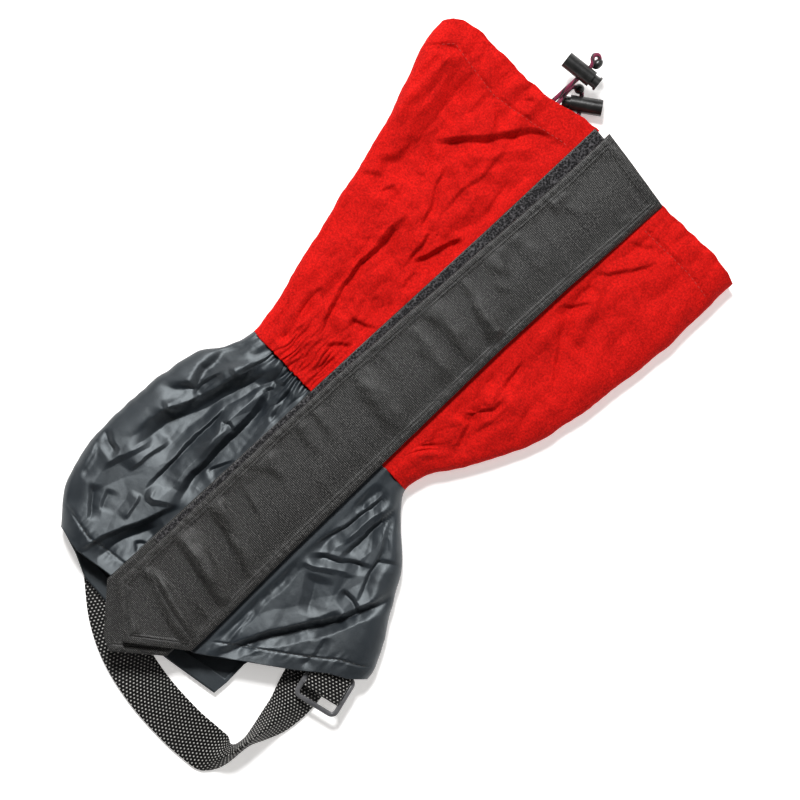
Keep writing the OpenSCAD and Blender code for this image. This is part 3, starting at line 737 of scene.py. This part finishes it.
def elastic_cloth():
    m = Nodes("elastic_cloth", 0.75, 0.3)
    at = m.place()
    ribs = m.wave(at, 260, "Y", 0.3)
    m.colour(m.ramp(ribs, [(0.2, (0.010, 0.010, 0.010)), (0.8, (0.045, 0.045, 0.045))]))
    m.bump((ribs, 0.2), (m.grain(at, 1400, 2), 0.08))
    return m.material


def webbing():
    """Black webbing with light picks, in rows that step half a pick sideways."""
    m = Nodes("webbing", 0.6, 0.2)
    at = m.place("UV")
    split = m.add("ShaderNodeSeparateXYZ", None, Vector=at).outputs
    row = m.math("DIVIDE", split[1], PICK_ROW)
    odd = m.times(m.math("FLOOR", m.math("MODULO", m.plus(row, 200.0), 2.0)), 0.5)
    du = m.from_middle(m.plus(m.math("DIVIDE", split[0], PICK_PITCH), odd))
    dv = m.from_middle(row)
    oval = m.math("SQRT", m.plus(m.times(du, du), m.times(dv, dv)))
    dots = m.add("ShaderNodeMapRange", {"interpolation_type": "SMOOTHSTEP"}, Value=oval, From_Min=0.36,
                 From_Max=0.12, To_Min=0.0, To_Max=1.0).outputs[0]
    threads = m.wave(at, 1.4, "Y", 2.0)
    worn = m.times(dots, m.plus(m.times(m.grain(at, 0.9, 2), 0.7), 0.5))
    m.colour(m.ramp(worn, [
        (0.15, (0.003, 0.003, 0.003)), (0.5, (0.16, 0.16, 0.15)), (0.85, (0.75, 0.73, 0.70)),
    ]))
    m.bump((dots, 0.45), (threads, 0.1))
    return m.material


def cord_braid():
    """Two colours of yarn that wind round the cord."""
    m = Nodes("cord_braid", 0.6, 0.4, Sheen_Weight=0.15)
    at = m.place("UV")
    run, turn = m.add("ShaderNodeSeparateXYZ", None, Vector=at).outputs[:2]
    bands = m.math("FRACT", m.plus(m.math("DIVIDE", run, 9.0), m.times(turn, 2.0)))
    yarns = m.math("FRACT", m.math("SUBTRACT", m.times(turn, 7.0), m.math("DIVIDE", run, 0.9)))
    dark = m.math("GREATER_THAN", bands, 0.7)
    m.colour(m.ramp(m.plus(m.times(dark, 0.7), m.times(yarns, 0.25)), [
        (0.0, (0.22, 0.010, 0.055)), (0.35, (0.10, 0.006, 0.026)),
        (0.7, (0.008, 0.006, 0.008)), (1.0, (0.02, 0.012, 0.016)),
    ]))
    m.bump((yarns, 0.12), (m.grain(at, 4.0, 2), 0.05))
    return m.material


def moulded_plastic(name, dark, light, roughness):
    m = Nodes(name, roughness, 0.5)
    at = m.place()
    m.colour(m.ramp(m.grain(at, 130, 4), [(0.3, dark), (0.75, light)]))
    m.rough(m.grain(at, 420, 3), roughness * 0.8, roughness * 1.3)
    m.bump((m.grain(at, 320, 3), 0.06), (m.grain(at, 3000, 2), 0.012))
    return m.material


def brushed_steel():
    m = Nodes("steel", 0.32, 0.5, Metallic=1.0)
    at = m.place("Object", (1, 0.08, 1))
    m.colour(m.ramp(m.grain(at, 900, 4), [(0.3, (0.42, 0.42, 0.43)), (0.8, (0.62, 0.62, 0.63))]))
    m.bump((m.grain(at, 2400, 3), 0.03))
    return m.material


def thread(name, dark, light):
    m = Nodes(name, 0.7, 0.3)
    at = m.place()
    twist = m.wave(at, 1500, "DIAGONAL")
    m.colour(m.ramp(twist, [(0.2, dark), (0.8, light)]))
    m.bump((twist, 0.05))
    return m.material


def pale_floor():
    m = Nodes("pale_floor", 0.9, 0.1, Emission_Color=(1, 0.98, 0.96, 1), Emission_Strength=0.42)
    at = m.place()
    m.colour(m.ramp(m.grain(at, 3, 2), [(0.3, (0.93, 0.925, 0.92)), (0.7, (0.95, 0.945, 0.94))]))
    return m.material


RED = red_cloth()
NYLON = dark_nylon()
RIBBED = ribbed_cloth()
PILE = pile_tape()
HOOKS = hook_cloth()
ELASTIC = elastic_cloth()
WEBBING = webbing()
BRAID = cord_braid()
LOCK = moulded_plastic("lock_plastic", (0.008, 0.008, 0.008), (0.022, 0.022, 0.021), 0.3)
BUCKLE = moulded_plastic("buckle_plastic", (0.07, 0.07, 0.075), (0.13, 0.13, 0.135), 0.24)
STEEL = brushed_steel()
RED_THREAD = thread("red_thread", (0.30, 0.006, 0.005), (0.62, 0.05, 0.04))
DARK_THREAD = thread("dark_thread", (0.010, 0.010, 0.011), (0.085, 0.083, 0.08))


def finish_piece(obj, material, body, slot, *nodes):
    """Gives a piece its material and body, and hides the solids it stands for. slot is not used."""
    obj.data.materials.clear()
    obj.data.materials.append(material)
    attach(obj, body)
    if nodes:
        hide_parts(*nodes)
    return obj


# ---------------------------------------------------------------- camera

VIEW_W = 0.44
CAMERA_H = 1.9
PICTURE_TURN = math.atan2(0.72, 0.694)
camera = bpy.data.objects.new("camera", bpy.data.cameras.new("camera"))
bpy.context.scene.collection.objects.link(camera)
camera.data.sensor_width = 36
camera.data.lens = 36 * (CAMERA_H - SHELL_H * 0.001) / VIEW_W
camera.data.clip_end = 20
centre = metres([0, 0, 0])
camera.location = (centre[0], centre[1], CAMERA_H)
camera.rotation_euler = (0, 0, PICTURE_TURN)
bpy.context.scene.camera = camera

# ---------------------------------------------------------------- cords

UPPER_CORD = [
    (-60.4, 170, 12.45), (-60.2, 174.5, 12.45), (-59.89, 182.5, 13.86), (-59.3, 197.4, 16.5),
    (-59.08, 203, 17.5),
]
END_LOOP = [
    (-59.08, 202.9, 17.5), (-60, 204.9, 17.6), (-61.7, 206.4, 17.4), (-62.2, 208.4, 17),
    (-60.8, 209.9, 16.4), (-58.9, 209.2, 15.9), (-58, 207.4, 15.6),
]
# The lower cord's turn round its bead: centre and radius, then the height at each angle.
TURN_AT, TURN_R = (-54.6, 186.6), 4
TURN_RISE = [(36, 4.9), (66, 5.6), (96, 6.6), (126, 7.6), (156, 8.4), (180, 9)]
LOWER_CORD = [
    (-51.9, 166.8, 12.45), (-49.6, 167.4, 12.1), (-47, 169, 11), (-44.9, 172.2, 8.6),
    (-43.6, 175.8, 6.2), (-44.3, 179.4, 4.9), (-48.4, 185, 4.9),
    *[(TURN_AT[0] + TURN_R * math.cos(math.radians(a)),
       TURN_AT[1] + TURN_R * math.sin(math.radians(a)), z) for a, z in TURN_RISE],
    (-58.3, 182.6, 10.3), (-57.6, 178.5, 11.5), (-57.2, 174.5, 12.3), (-57, 169.6, 12.45),
]


def free_cord(name, points, node):
    """A braided cord eased through its points, in place of one solid."""
    route = eased(points, 6)
    obj = finish_piece(tube_object(name, route, CORD_D), BRAID, "gaiter", "cord", node)


# Depth of the drawcord's centre in from the outside, and the tunnel's height up the leg.
TUNNEL_DEPTH, TUNNEL_Y = 2.3, 165.0
DOWN, UP = (1, 0.8, 0.6, 0.4, 0.2, 0), (0.2, 0.4, 0.6, 0.8, 1)


def tunnel_run(start_x, drop):
    """One run of drawcord in the top hem, from the front left round the back to the front right."""
    stops = [("left_front", 0.5, x) for x in np.arange(start_x, -110, -14)]
    stops += [("left_over", f, None) for f in DOWN] + [("left_under", f, None) for f in UP]
    stops += [("back", 0.5, x) for x in range(-108, 60, 17)]
    stops += [("right_under", f, None) for f in DOWN] + [("right_over", f, None) for f in UP]
    stops += [("right_front", 0.5, x) for x in range(54, 22, -10)]
    points = []
    for part, f, x in stops:
        table = BACK_TOP if part == "back" or part.endswith("under") else FRONT_TOP
        outer_x = tube_point(part, f, np.array(TUNNEL_Y), 0.0)[0] if x is None else x
        y = float(line(outer_x, table)) - drop
        inner_x, z, _ = tube_point(part, f, np.array(y), TUNNEL_DEPTH)
        points.append((float(inner_x if x is None else x), y, float(z)))
    return eased(points, 3)


finish_piece(
    joined("drawcord_runs", [tube_object("run_a", tunnel_run(-63, 6), CORD_D, 10),
                             tube_object("run_b", tunnel_run(-52.8, 11), CORD_D, 10)]),
    BRAID, "gaiter", "cord", "drawcord")


def ball(name, centre_mm, radius, stretch=(1, 1, 1), turn=0.0):
    """A moulded bead, open at both ends of its own Y, where the cord goes in."""
    rows, cols = np.linspace(0.14, math.pi - 0.14, 25), np.linspace(0, 2 * math.pi, 33)
    a, b = np.meshgrid(rows, cols, indexing="ij")
    x = np.sin(a) * np.cos(b) * stretch[0]
    y = np.cos(a) * stretch[1]
    z = np.sin(a) * np.sin(b) * stretch[2]
    c, s = math.cos(turn), math.sin(turn)
    grid = np.stack([x * c - y * s, x * s + y * c, z], -1) * radius + np.array(centre_mm)
    return grid_object(name, grid[:, ::-1])


stopper = finish_piece(ball("cord_stopper_bead", (-57.6, 206.4, 15.4), 2.5, (1, 1.4, 1)),
                       LOCK, "gaiter", "lock_plastic", "cord_stopper")
bead = finish_piece(ball("cord_bead_ball", (-55, 190.5, 6.6), 2.9, (1, 1, 1), 1.4),
                    LOCK, "gaiter", "lock_plastic", "cord_bead")
end_loop = finish_piece(tube_object("cord_end_loop_braid", eased(END_LOOP, 6), CORD_D),
                        BRAID, "gaiter", "cord", "cord_end_loop")


# A lock's spring, along the barrel from where the cord crosses.
SPRING_FROM, SPRING_LENGTH, SPRING_R, SPRING_TURNS = -8.8, 4.2, 2.4, 4
SPRING_WIRE, BARREL_FLOOR, PRESSED_SHARE = 0.5, -9.2, 0.36


def lock_spring(lock, at, turn):
    """The coil spring behind a lock's plunger."""
    heading = math.radians(turn)
    along = np.array([math.cos(heading), math.sin(heading), 0])
    across = np.array([-math.sin(heading), math.cos(heading), 0])
    a = np.linspace(0, 2 * math.pi * SPRING_TURNS, 16 * SPRING_TURNS + 1)[:, None]
    route = np.array(at) + along * (SPRING_FROM + SPRING_LENGTH * a / a[-1])
    route = route + SPRING_R * (np.cos(a) * across + np.sin(a) * np.array([0, 0, 1]))
    coil = finish_piece(tube_object(f"{lock}_lock_coil", route, SPRING_WIRE, 8), STEEL,
                        f"{lock}_lock", "steel", f"{lock}_lock_spring")
    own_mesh(coil)
    return coil


upper_spring = lock_spring("upper", (-59.3, 197.4, 16.5), 7.7)
lower_spring = lock_spring("lower", (-48.4, 185, 4.9), 216.6)
free_cord("cord_upper_braid", UPPER_CORD, "cord_upper")
free_cord("cord_lower_braid", LOWER_CORD, "cord_lower")

# ---------------------------------------------------------------- shell

columns = tube_columns()
top_line = edge_values(columns, 175, FRONT_TOP, BACK_TOP)
top_line += 0.7 * noise(np.arange(len(columns)) / 11.0, 0.5, 62) - 0.3
bottom_line = edge_values(columns, -185, FRONT_BOTTOM, BACK_BOTTOM)


def ankle_line(y):
    """The seam at the ankle, which swings a little between pleats."""
    return y + 0.5 * noise(np.arange(len(columns)) / 9.0, 0.5, 61)


upper = tube_grid(columns, top_line, ankle_line(ANKLE_Y), 320, upper_relief)
finish_piece(grid_object("upper_cloth", upper, CLOTH_T), RED, "gaiter", "red_cloth",
             "upper_front_left", "upper_front_right", "upper_back")
foot = tube_grid(columns, ankle_line(ANKLE_Y + 0.6), bottom_line, 260, foot_relief)
foot[:2, :, 2] -= 0.4 * np.sign(foot[:2, :, 2] - SIDE_H)
finish_piece(grid_object("foot_cloth", foot, CLOTH_T), NYLON, "gaiter", "dark_nylon",
             "foot_front_left", "foot_front_right", "foot_back")


def inner_strip(name, start, stop, rows, offs, relief, thick, material, slot, nodes):
    """A strip of cloth inside the tube, offs in from its outside."""
    grid = tube_grid(columns, start, stop, rows, relief, offs)
    return finish_piece(grid_object(name, grid, thick), material, "gaiter", slot, *nodes)


# The facing leaves the cloth at both edges of the tunnel to clear the drawcord.
hem_offs = np.concatenate([[0.95, 2.5], np.full(12, 4.05), [2.5, 0.95]])
inner_strip("top_hem_facing", top_line - 0.6, top_line - 16.5, 16, hem_offs,
            lambda x, y: np.minimum(upper_relief(x, y), 0.0), 0.5, RED, "red_cloth",
            ("top_hem_left", "top_hem_right", "top_hem_back"))
inner_strip("ankle_elastic_band", np.full(len(columns), -12.0), np.full(len(columns), -31.0), 24, 1.25,
            lambda x, y: np.minimum(upper_relief(x, y), 0.3), 1.0, ELASTIC, "elastic",
            ("ankle_elastic_left", "ankle_elastic_right", "ankle_elastic_back"))
inner_strip("foot_hem_facing", bottom_line + FOOT_HEM, bottom_line + 0.4, 14, 0.95,
            foot_relief, 0.4, NYLON, "dark_nylon",
            ("foot_hem_left", "foot_hem_right", "foot_hem_back"))

# ---------------------------------------------------------------- closure

FLAP_LEFT = [
    (-201.5, -10.4), (-180, -36), (-120, -35.6), (-60, -35), (-20, -34), (20, -32), (90, -28.5),
    (150, -25.5), (185, -25.5),
]
FLAP_RIGHT = [
    (-201.5, -9.6), (-178, 19.8), (-165, 20), (-100, 18.7), (60, 18.7), (110, 20), (150, 22.2),
    (178, 23.4),
]
FLAP_ROWS, FLAP_COLS = 620, 96
FLAP_POINT = -10.0


def strip_grid(rows, cols, left_table, right_table, y_top, y_bottom, slant):
    """Grid over a strip, columns from right to left so that its faces look up."""
    y = np.linspace(y_top, y_bottom, rows)[:, None]
    left, right = line(y, left_table), line(y, right_table)
    x = lerp(right, left, np.linspace(0, 1, cols)[None, :])
    return x, y + slant(x, y)


def flap_slant(x, y):
    """The flap's top edge falls to the right."""
    return lerp(3.2, -3.0, (x + 25.5) / 49) * smooth((y - 110) / 70)


def border_distance(x, y, left_table, right_table, y_top, point_y):
    """How far in from a strip's border a point is."""
    sides = np.minimum(x - line(y, left_table), line(y, right_table) - x)
    slope = np.where(y < point_y, 0.63, 1.0)
    return np.minimum(sides * slope, y_top - y)


def hem_relief(d, width, lift):
    """A folded hem: raised to its stitches, with a groove along them."""
    raised = lift * (1 - smooth((d - width + 0.4) / 0.8))
    groove = -0.42 * np.exp(-(((d - width + 1.1) / 0.4) ** 2))
    edge = -0.5 * np.exp(-((d / 0.7) ** 2))
    return raised + groove + edge


def flap_height(x, y):
    """The flap's upper surface."""
    d = border_distance(x, y, FLAP_LEFT, FLAP_RIGHT, 180.5 + flap_slant(x, y), -179)
    slope = y + 0.22 * x
    waves = creased(x / 80, slope / 19, 71) + 0.7 * noise(x / 60, slope / 11, 72)
    waves = waves * (1 + 0.7 * smooth((-50 - y) / 60)) + 0.25 * noise(x / 9, y / 6, 73)
    waves = waves + 1.6 * np.exp(-(((slope + 169) / 7) ** 2)) + 1.3 * np.exp(-(((slope + 146) / 6) ** 2))
    waves = np.logaddexp(0, 2.4 * (2.3 * waves + 0.35)) / 2.4 - 0.35
    scallop = 0.22 * creased(x / 20, y / 5.5, 74) * np.exp(-(((d - 2.5) / 3) ** 2))
    height = FLAP_TOP - 0.5 + waves * smooth((d - 3) / 6) + scallop + hem_relief(d, 5.2, 0.45)
    fall = 2.4 * smooth((x + 4) / 32) + 1.8 * smooth((x - 20) / 3.5)
    return height - fall


fx, fy = strip_grid(FLAP_ROWS, FLAP_COLS, FLAP_LEFT, FLAP_RIGHT, 180.9, -201.3, flap_slant)
fz = flap_height(fx, fy)
flap = grid_object("flap_cloth", np.stack([fx, fy, fz], -1), FLAP_T - 0.1)
flap.data.materials.append(RIBBED)

PLACKET_LEFT = [
    (-211, -12.5), (-207, -20), (-184, -41), (-60, -38), (0, -36.8), (100, -34.2), (181, -33),
]
PLACKET_RIGHT = [(-211, -11.5), (-190, 12.4), (181, 12.4)]
px, py = strip_grid(520, 60, PLACKET_LEFT, PLACKET_RIGHT, 181, -210.8,
                    lambda x, y: -0.07 * (x + 33) * smooth((y - 150) / 30))
pd = border_distance(px, py, PLACKET_LEFT, PLACKET_RIGHT, 400, -186)
pz = PLACKET_TOP - 0.1 + hem_relief(pd, 5.0, 0.25) * (py < -165) + 0.12 * noise(px / 12, py / 9, 81)
finish_piece(grid_object("placket_cloth", np.stack([px, py, pz], -1), 0.85), RIBBED, "gaiter",
             "ribbed_cloth", "front_placket")

LOOP_LEFT = [(-150, -39), (-60, -37.6), (0, -36.2), (100, -33.6), (180, -32.4)]
LOOP_RIGHT = [(-150, 6), (180, 6)]
lx, ly = strip_grid(760, 70, LOOP_LEFT, LOOP_RIGHT, 180, -150,
                    lambda x, y: -0.06 * (x + 32) * smooth((y - 150) / 30))
tape_edge = np.minimum(lx - line(ly, LOOP_LEFT), 3) / 3
tufts = 0.22 * noise(lx / 0.9, ly / 0.9, 91) + 0.12 * noise(lx / 3, ly / 3, 92)
lz = LOOP_TOP - 0.35 - 0.6 * (1 - tape_edge) + tufts
finish_piece(grid_object("loop_tape_pile", np.stack([lx, ly, lz], -1), 0.9), PILE, "gaiter",
             "closure_tape", "loop_tape")

hx, hy = strip_grid(300, 30, [(-150, -22), (176, -22)], [(-150, 11), (176, 11)], 175, -150,
                    lambda x, y: -0.06 * (x + 22) * smooth((y - 150) / 30))
hz = flap_height(hx, hy) - FLAP_T
finish_piece(grid_object("hook_tape_cloth", np.stack([hx, hy, hz], -1), 0.9), HOOKS, "flap",
             "closure_tape", "hook_tape")

# ---------------------------------------------------------------- stitches


def stitch_rows(name, paths, height, pitch, length, radius, lift=0.1):
    """Short threads along lines on a surface, each with its ends sunk into the cloth."""
    rings, faces = [], []
    sides = 6
    up = np.array([0, 0, 1])
    turns = 2 * math.pi * np.arange(sides) / sides
    for path in paths:
        p = np.array(path, float)
        steps = np.linalg.norm(np.diff(p, axis=0), axis=1)
        run = np.concatenate([[0], np.cumsum(steps)])
        for s in np.arange(pitch / 2, run[-1] - length, pitch):
            ts = s + np.linspace(0, 1, 5) * length
            x, y = np.interp(ts, run, p[:, 0]), np.interp(ts, run, p[:, 1])
            z = height(x, y) + lift - radius * np.array([1.4, 0.1, 0, 0.1, 1.4])
            t = np.array([x[-1] - x[0], y[-1] - y[0], 0])
            t /= np.linalg.norm(t)
            side = np.array([-t[1], t[0], 0])
            base = len(rings)
            for at, r in zip(np.stack([x, y, z], -1), radius * np.array([0.55, 1, 1, 1, 0.55])):
                rings += [at + r * (math.cos(a) * side + math.sin(a) * up) for a in turns]
            for i in range(4):
                for k in range(sides):
                    a, b = base + i * sides + k, base + i * sides + (k + 1) % sides
                    faces.append((a, b, b + sides, a + sides))
            faces.append(tuple(base + k for k in range(sides)))
            faces.append(tuple(base + 4 * sides + k for k in range(sides - 1, -1, -1)))
    return new_object(name, metres(rings), faces)


def shell_height(relief):
    """A function for the height of the tube's front, with its relief."""
    def height(x, y):
        left, right = curve(y, LEFT_EDGE), curve(y, RIGHT_EDGE)
        near = np.clip(np.minimum(x - left, right - x) / FRONT_FOLD, 0, 1)
        share = 1 - (1 - near) ** 2
        base = SIDE_H + (SHELL_H - SIDE_H) * np.sqrt(share)
        return base + held(relief(x, y) * clear_of_closure(x)) * share
    return height


def inset(table, width, y_from, y_to):
    """A line of stitches beside one edge of a strip."""
    y = np.linspace(y_from, y_to, 60)
    return list(zip(line(y, table) + width, y))


flap_rows = [
    inset(FLAP_LEFT, 4.1, 176, -177) + [(FLAP_POINT, -196.0)],
    inset(FLAP_RIGHT, -4.1, 172, -176) + [(FLAP_POINT, -195.4)],
    [(-21, 179.8), (18, 174.6)],
]
seams = stitch_rows("flap_stitches", flap_rows, flap_height, 3.0, 2.1, 0.26, 0.14)
seams.data.materials.append(DARK_THREAD)

upper_rows = [
    [(x, stitch_y(x)) for x in np.linspace(-126, -36, 60)],
    [(x, stitch_y(x)) for x in np.linspace(25, 76, 40)],
]
finish_piece(stitch_rows("top_hem_stitches", upper_rows, shell_height(upper_relief), 2.8, 1.9, 0.22, 0.12),
             RED_THREAD, "gaiter", "red_cloth")
foot_rows = [
    [(x, float(line(x, FRONT_BOTTOM)) + FOOT_HEM) for x in np.linspace(-74, -42, 30)],
    [(x, float(line(x, FRONT_BOTTOM)) + FOOT_HEM) for x in np.linspace(27, 93, 60)],
]
finish_piece(stitch_rows("foot_hem_stitches", foot_rows, shell_height(foot_relief), 2.8, 1.9, 0.2, 0.1),
             DARK_THREAD, "gaiter", "dark_nylon")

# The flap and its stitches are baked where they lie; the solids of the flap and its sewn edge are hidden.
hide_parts("front_flap", "flap_sewn_edge")
for piece in (flap, seams):
    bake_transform(piece)

# ---------------------------------------------------------------- strap and buckle

STRAP_W, STRAP_T = 26.0, 1.4
# Places along the strap: x, y, z of its underside, its heading and its lengthwise fold in degrees.
STATIONS = [
    (-56, -173, 0.1, -42, 0), (-42, -184.5, 0.1, -38, 0), (-24, -198, 0.1, -31, 0),
    (-4, -207, 0.1, -20, 0), (20, -211.7, 0.1, -6, 0), (45, -212.6, 0.1, 1, 0),
    (60, -211.4, 0.1, 3, 2), (67.5, -210.3, 0.1, 6, 12), (72.6, -207.8, 0.1, 16, 42),
    (76, -201.6, 0.1, 50, 72), (77.4, -193, 0.1, 84, 78), (78.6, -184, 0.1, 88, 66),
    (79.4, -174, 0.1, 92, 50), (79, -164, 0.1, 97, 38), (77.4, -155, 0.3, 101, 24),
    (75.4, -146, 1.3, 103, 12), (73.4, -137, 1.75, 103, 4), (71.2, -128, 1.75, 103, 0),
    (69.4, -120, 1.75, 103, 0),
]


def strap_grid():
    """The webbing's upper surface, with a soft ridge where it is folded lengthwise."""
    s = eased(STATIONS, 7)
    f = np.linspace(-1, 1, 41)
    half = STRAP_W / 2
    heading, bend = np.radians(s[:, 3:4]), np.radians(np.clip(s[:, 4:5], 0, 80))
    soft = 1 - np.sqrt(f**2 + 0.02)
    soft = np.clip((soft - soft[0]) / (soft.max() - soft[0]), 0, 1)[None, :]
    along = f[None, :] * half * np.cos(bend)
    x = s[:, 0:1] + along * np.sin(heading)
    y = s[:, 1:2] - along * np.cos(heading)
    z = np.maximum(s[:, 2:3], 0.1) + STRAP_T + half * soft * np.sin(bend) * 0.97
    return np.stack([x, y, z], -1)


finish_piece(grid_object("foot_strap_webbing", strap_grid(), STRAP_T - 0.15), WEBBING, "gaiter",
             "webbing", "foot_strap")

BUCKLE_AT = np.array([88.6, -152.0, 9.0])
BUCKLE_TURN = math.radians(14.7)
BUCKLE_W, BUCKLE_L = 27.5, 25.0
BAR_W, BAR_HALF_H, END_BAR_HALF_H = 2.8, 1.18, 0.85
BAR_Y, WRAP_R, TAB_T = 10.0, 2.35, 1.0


def from_buckle(points):
    """Drafted positions of points in the buckle's own frame: X across it, Y towards the gaiter."""
    p = np.asarray(points, float)
    c, s = math.cos(BUCKLE_TURN), math.sin(BUCKLE_TURN)
    x, y = p[..., 0] * c - p[..., 1] * s, p[..., 0] * s + p[..., 1] * c
    return np.stack([x, y, p[..., 2]], -1) + BUCKLE_AT


def frame_loop(width, length, radius, steps=10):
    """A rounded rectangle, from its lower right corner round."""
    points = []
    corners = [(width / 2 - radius, radius, -90), (width / 2 - radius, length - radius, 0),
               (-width / 2 + radius, length - radius, 90), (-width / 2 + radius, radius, 180)]
    for cx, cy, start in corners:
        for a in np.radians(np.linspace(start, start + 90, steps)):
            points.append((cx + radius * math.cos(a), cy + radius * math.sin(a)))
    return np.array(points)


def buckle_piece():
    """A frame with rounded bars, and a middle bar across it."""
    loop = frame_loop(BUCKLE_W - BAR_W, BUCKLE_L - BAR_W, 3.0) + [0, BAR_W / 2]
    n, sides = len(loop), 16
    ahead = np.roll(loop, -1, 0) - np.roll(loop, 1, 0)
    ahead /= np.linalg.norm(ahead, axis=1, keepdims=True)
    out = np.stack([ahead[:, 1], -ahead[:, 0]], -1)
    rings = []
    for i in list(range(n)) + [0]:
        for k in range(sides + 1):
            a = 2 * math.pi * k / sides
            c, s = math.cos(a), math.sin(a)
            c, s = np.sign(c) * abs(c) ** 0.7, np.sign(s) * abs(s) ** 0.7
            x, y = loop[i] + out[i] * BAR_W / 2 * c
            half_height = END_BAR_HALF_H if s > 0 and loop[i][1] > BUCKLE_L - 4 else BAR_HALF_H
            rings.append((x, y, half_height * s))
    grid = from_buckle(np.array(rings).reshape(n + 1, sides + 1, 3))
    bar = from_buckle([(x, BAR_Y, 0) for x in np.linspace(-12.2, 12.2, 12)])
    pieces = [grid_object("loop", grid), tube_object("bar", bar, 3.0, 20)]
    pieces[0].modifiers.new("Weld", "WELD").merge_threshold = 1e-6
    return joined("buckle_moulding", pieces)


finish_piece(buckle_piece(), BUCKLE, "buckle", "buckle_plastic", "buckle_frame")


def tab_grid():
    """The buckle's tab: in under the gaiter, round the middle bar and back on itself."""
    turn = np.linspace(0.15, -1.5 * math.pi, 26)
    path = [(36, 1.35), (28, 1.35), (20, 1.35), (14.5, 1.3)]
    path += [(BAR_Y + WRAP_R * math.cos(a) * 0.95, WRAP_R * math.sin(a)) for a in turn]
    path += [(14, 2.5), (20, 2.5), (28, 2.5), (35.4, 2.5)]
    across = np.linspace(-10.8, 10.8, 30)
    return from_buckle([[(x, y, z + 0.12 * math.cos(x * 0.9)) for x in across] for y, z in path])


tab = grid_object("buckle_tab_webbing", tab_grid(), TAB_T)
tab.modifiers["Thickness"].offset = 0
finish_piece(tab, WEBBING, "gaiter", "webbing", "buckle_tab")


def zigzag(at, direction, width, length, turns):
    """Zigzag thread of one bar tack."""
    d = np.array(direction, float)
    side = np.array([-d[1], d[0], 0])
    steps = np.linspace(-0.5, 0.5, turns)
    return [np.array(at) + side * length * s + d * width * (0.5 if i % 2 else -0.5)
            for i, s in enumerate(steps)]


STRAP_START = math.radians(-42)
strap_way = (math.cos(STRAP_START), math.sin(STRAP_START), 0)
tab_way = (-math.sin(BUCKLE_TURN), math.cos(BUCKLE_TURN), 0)
tacks = [tube_object("tack", zigzag(at, strap_way, 2, 20, 44), 0.4, 6)
         for at in ((-53.2, -175.4, 1.72), (-48.8, -179.4, 1.72))]
tacks += [tube_object("tack", zigzag(from_buckle([0, y, 3.15]), tab_way, 1.8, 18, 40), 0.45, 6)
          for y in (28.8, 33.8)]
finish_piece(joined("bartack_threads", tacks), DARK_THREAD, "gaiter", "webbing", "bartacks")

# ---------------------------------------------------------------- parts kept as they are

KEPT = {
    "upper_lock_barrel": LOCK, "upper_lock_plunger": LOCK, "lower_lock_barrel": LOCK,
    "lower_lock_plunger": LOCK, "lace_hook": STEEL, "lace_hook_rivets": STEEL,
}
for node, material in KEPT.items():
    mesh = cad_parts[node].data
    mesh.materials.clear()
    mesh.materials.append(material)

# ---------------------------------------------------------------- floor and light

# The floor's radius and height: it runs out level and turns up into a low backdrop all round.
SWEEP = [
    (1, 0), (1500, 0), (3000, 0), (3300, 40), (3600, 180), (3850, 480), (4000, 950), (4050, 1700),
]
around = np.linspace(0, 2 * math.pi, 97)
floor = grid_object("floor", np.array(
    [[(r * math.cos(a), r * math.sin(a), z) for a in around] for r, z in SWEEP]))
floor.data.materials.append(pale_floor())

world = bpy.data.worlds.new("studio")
world.use_nodes = True
world.node_tree.nodes["Background"].inputs[0].default_value = (1, 1, 1, 1)
world.node_tree.nodes["Background"].inputs[1].default_value = 0.03
bpy.context.scene.world = world
bpy.context.scene.view_settings.view_transform = "Standard"


def area_light(name, toward, height, reach, size, power):
    """A soft light that looks at the gaiter's middle. toward says on which side of it the light is."""
    light = bpy.data.lights.new(name, "AREA")
    light.size = size
    light.energy = power
    obj = bpy.data.objects.new(name, light)
    bpy.context.scene.collection.objects.link(obj)
    d = np.array(toward, float) / np.linalg.norm(toward)
    obj.location = (centre[0] + d[0] * reach, centre[1] + d[1] * reach, height)
    aim = Vector((centre[0], centre[1], 0)) - obj.location
    obj.rotation_euler = aim.to_track_quat("-Z", "Y").to_euler()


area_light("key", LIGHT_FROM, 1.7, 1.45, 0.5, 67)
area_light("fill", (0.5, 0.8), 1.7, 1.6, 1.2, 8)
